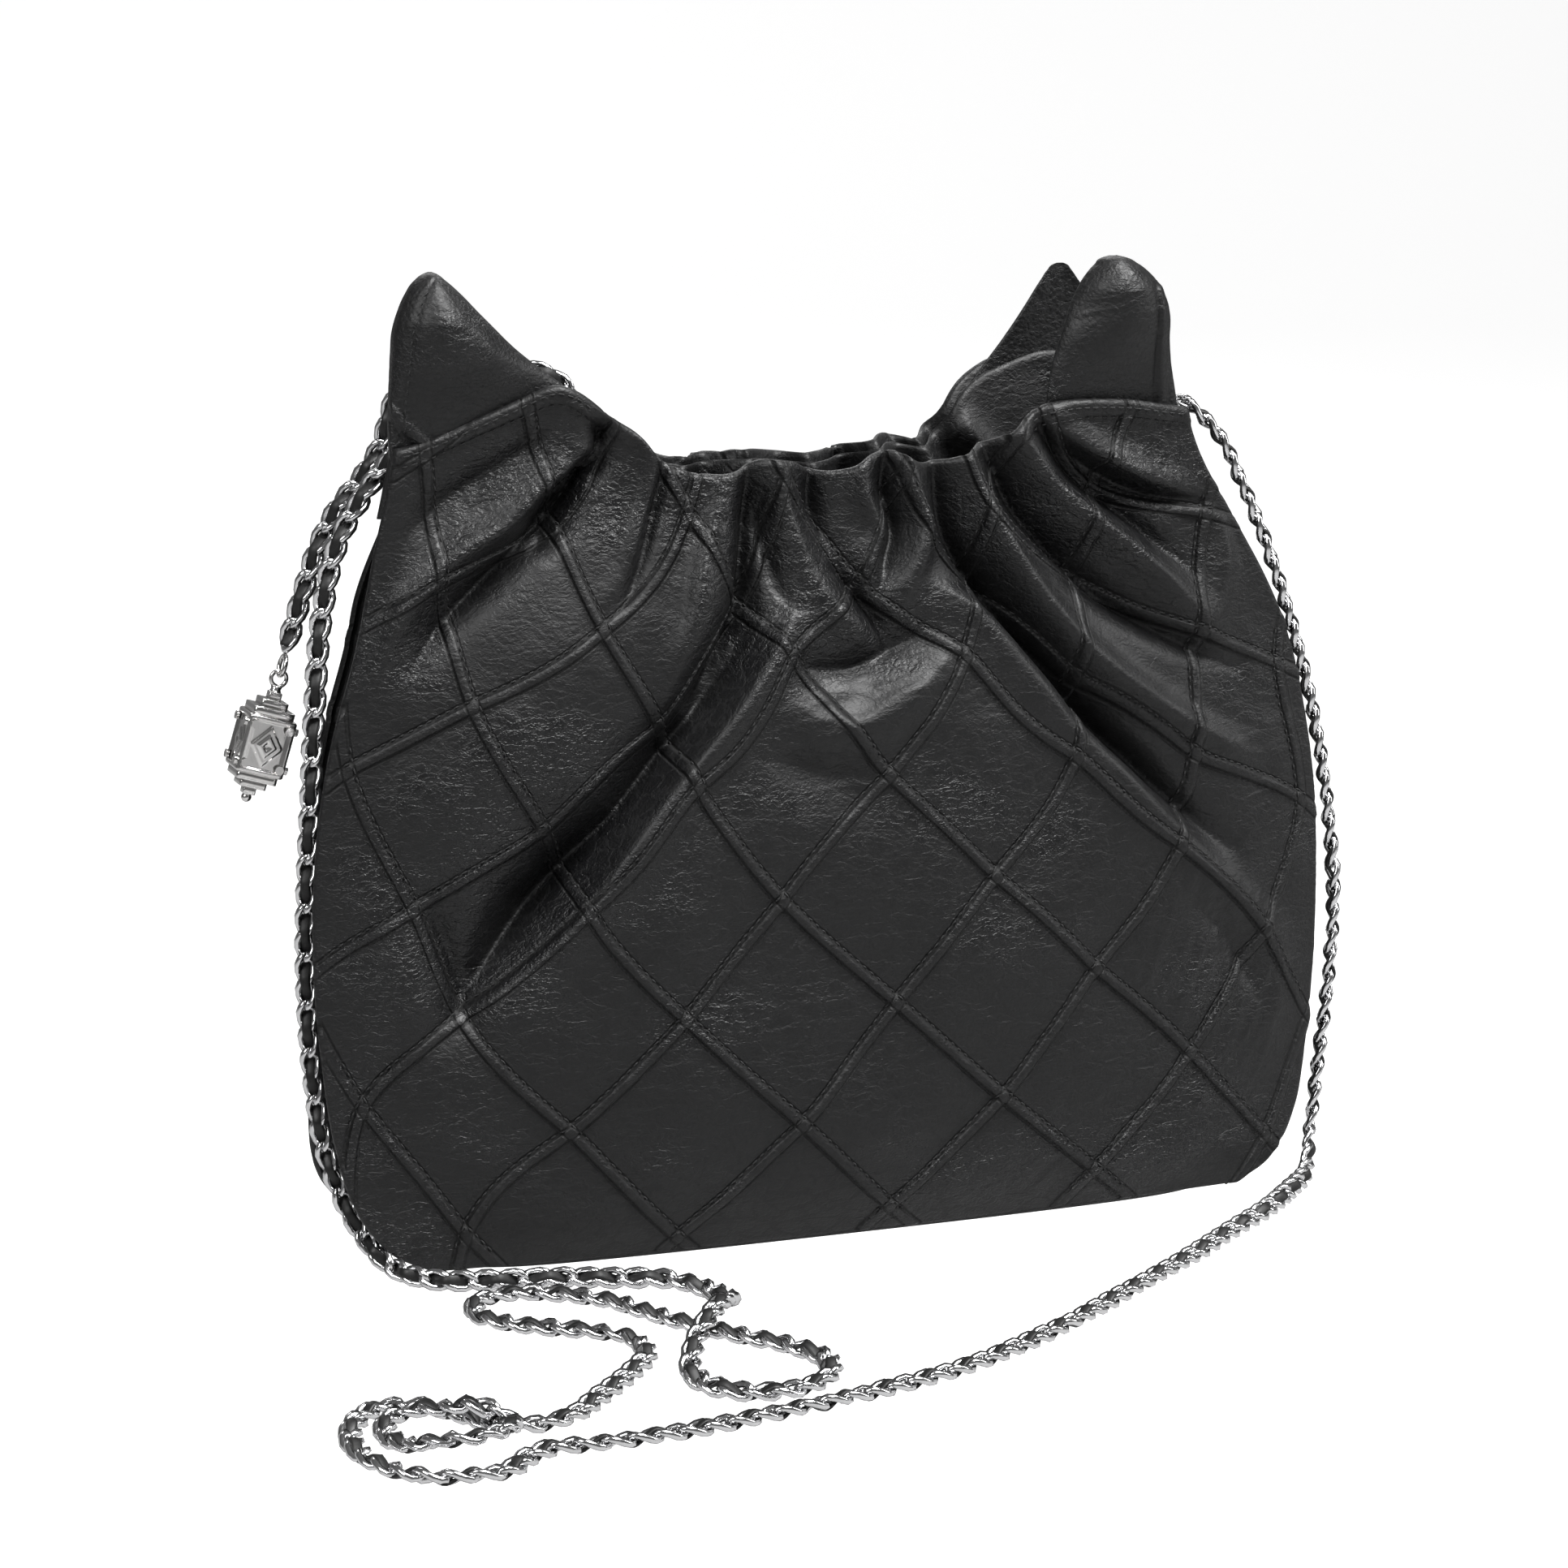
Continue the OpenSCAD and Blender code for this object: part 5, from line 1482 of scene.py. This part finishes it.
zip_pegs = make_mesh("zip_teeth_steel", seat[:, None] + tooth[None], peg_faces, [fitting_metal])
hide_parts("zip_teeth")
print(peg_count, "zip teeth")

# %% [markdown]
# The bag stands on a leather base over a stiff board, with the lining's base on top. The leather and
# the cloth are soft plates, so they get rounded rims. Three folded leather tabs hold the chain's ends,
# and thin washers spread the pull of the snap behind the leather.

# %% Floor of the bag
def floor_layer(name, node, low, thick, clear, end_gap, material):
    """A soft plate with a rounded rim: the pouch's footprint shrunk by a clearance, swept from the
    middle of its underside out over the edge and back to the middle of its top."""
    s = np.concatenate([np.linspace(-1, 1, 90), np.linspace(1, -1, 90)])
    front = np.concatenate([-np.ones(90), np.ones(90)])
    outline = np.stack([s * (half_w(0.0) - end_gap), front * (half_d(s, np.zeros(180)) - clear)], 1)
    round_off = (1 - 0.25 * np.abs(s) ** 12)[:, None] ** np.array([[0, 1]])
    outline = outline * round_off
    turn = np.linspace(-np.pi / 2, np.pi / 2, 9)
    share = np.concatenate([[0.004, 0.3, 0.6, 0.85], 1 - 0.012 * (1 - np.cos(turn)), [0.85, 0.6, 0.3, 0.004]])
    rise = np.concatenate([[0, 0, 0, 0], 0.5 + 0.5 * np.sin(turn), [1, 1, 1, 1]])
    g = xyz(share[:, None] * outline[None, :, 0], share[:, None] * outline[None, :, 1],
            low + thick * rise[:, None])
    caps = [tuple(range(179, -1, -1)), tuple((len(share) - 1) * 180 + k for k in range(180))]
    faces = grid_faces(len(share), 180, False, True)[:, ::-1].tolist() + [c[::-1] for c in caps]
    obj = make_mesh(name, g, faces, [material])
    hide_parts(node)
    return obj


floor_layer("base_panel_leather", "base_panel", 0.0, 2.0, 0, 2, black_leather)
floor_layer("base_lining_cloth", "base_lining", 4.2, 0.8, 4.5, 6, lining_cloth)

# %% Chain tabs
def chain_tab(name, node, top, across):
    """A strip of leather folded over the chain's last link: its section is a rounded bar that is
    thickest round the link, and both ends are rounded off."""
    u = np.linspace(0, 1, 40)[:, None]
    a = np.linspace(0, 2 * np.pi, 28, endpoint=False)[None, :]
    close = np.sqrt(np.clip(1 - np.abs(2 * u - 1) ** 14, 0.0, 1)) * 0.98 + 0.02
    wide = 3.0 * close * (1 - 0.08 * ease((u - 0.7) / 0.2))
    deep = (1.15 + 0.35 * bell(u - 0.86, 0.1) + 0.12 * np.sin(u * 19)) * close
    flat = np.sign(np.cos(a)) * np.abs(np.cos(a)) ** 0.35 * wide
    proud = np.sign(np.sin(a)) * np.abs(np.sin(a)) ** 0.6 * deep
    z = top[2] - 20 + 20 * u + 0 * a
    x, y = (flat, proud) if across else (-proud, flat)
    g = xyz(top[0] + x, top[1] + y, z)
    caps = [tuple(range(28)), tuple(39 * 28 + k for k in range(27, -1, -1))]
    obj = make_mesh(name, g, grid_faces(40, 28, False, True)[:, ::-1].tolist() + caps, [black_leather])
    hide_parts(node)
    return obj


chain_tab("left_tab_leather", "left_chain_tab", (-95.5, -8, 174), False)
chain_tab("right_tab_leather", "right_chain_tab", (80, -8, 174), False)
chain_tab("tail_tab_leather", "tail_chain_tab", (-57, 7, 184), True)
print("tabs made")

# %% Washers under the leather
for side_name, turn in (("snap_stud_washer", 1), ("snap_socket_washer", -1)):
    a = np.linspace(0, 2 * np.pi, 48, endpoint=False)[None, :]
    b = np.linspace(0, 2 * np.pi, 12, endpoint=False)[:, None]
    r = 3.6 + 2.3 * np.sign(np.cos(b)) * np.abs(np.cos(b)) ** 0.4
    lift = 0.3 * np.sign(np.sin(b)) * np.abs(np.sin(b)) ** 0.5
    z = snap_place[1] + r * np.sin(a)
    centre = wall(np.array(0.0), np.array(snap_place[1]))
    y = centre[1] + 5.2 + 0.17 * r * np.sin(a) + lift
    g = xyz(centre[0] + r * np.cos(a), turn * y, z)
    g = g if turn < 0 else g[:, ::-1]
    washer = make_mesh(side_name + "_steel", g, grid_faces(12, 48, True, True), [fitting_metal])
    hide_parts(side_name)
print("washers made")

# %% [markdown]
# The board, rivets, snap halves, zip slider and pull, jump ring and studs are hard parts. They keep
# their measured shapes and only get a finish.

# %% Finish the pieces that stay
for node, material in [
    ("base_board", board_pulp), ("chain_tab_rivets", fitting_metal), ("snap_stud", fitting_metal),
    ("snap_socket", fitting_metal), ("zip_slider", fitting_metal), ("zip_pull", fitting_metal),
    ("charm_ring", charm_metal), ("charm_studs", charm_metal),
]:
    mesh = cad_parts[node].data
    mesh.materials.clear()
    mesh.materials.append(material)
print("finished the pieces that stay")
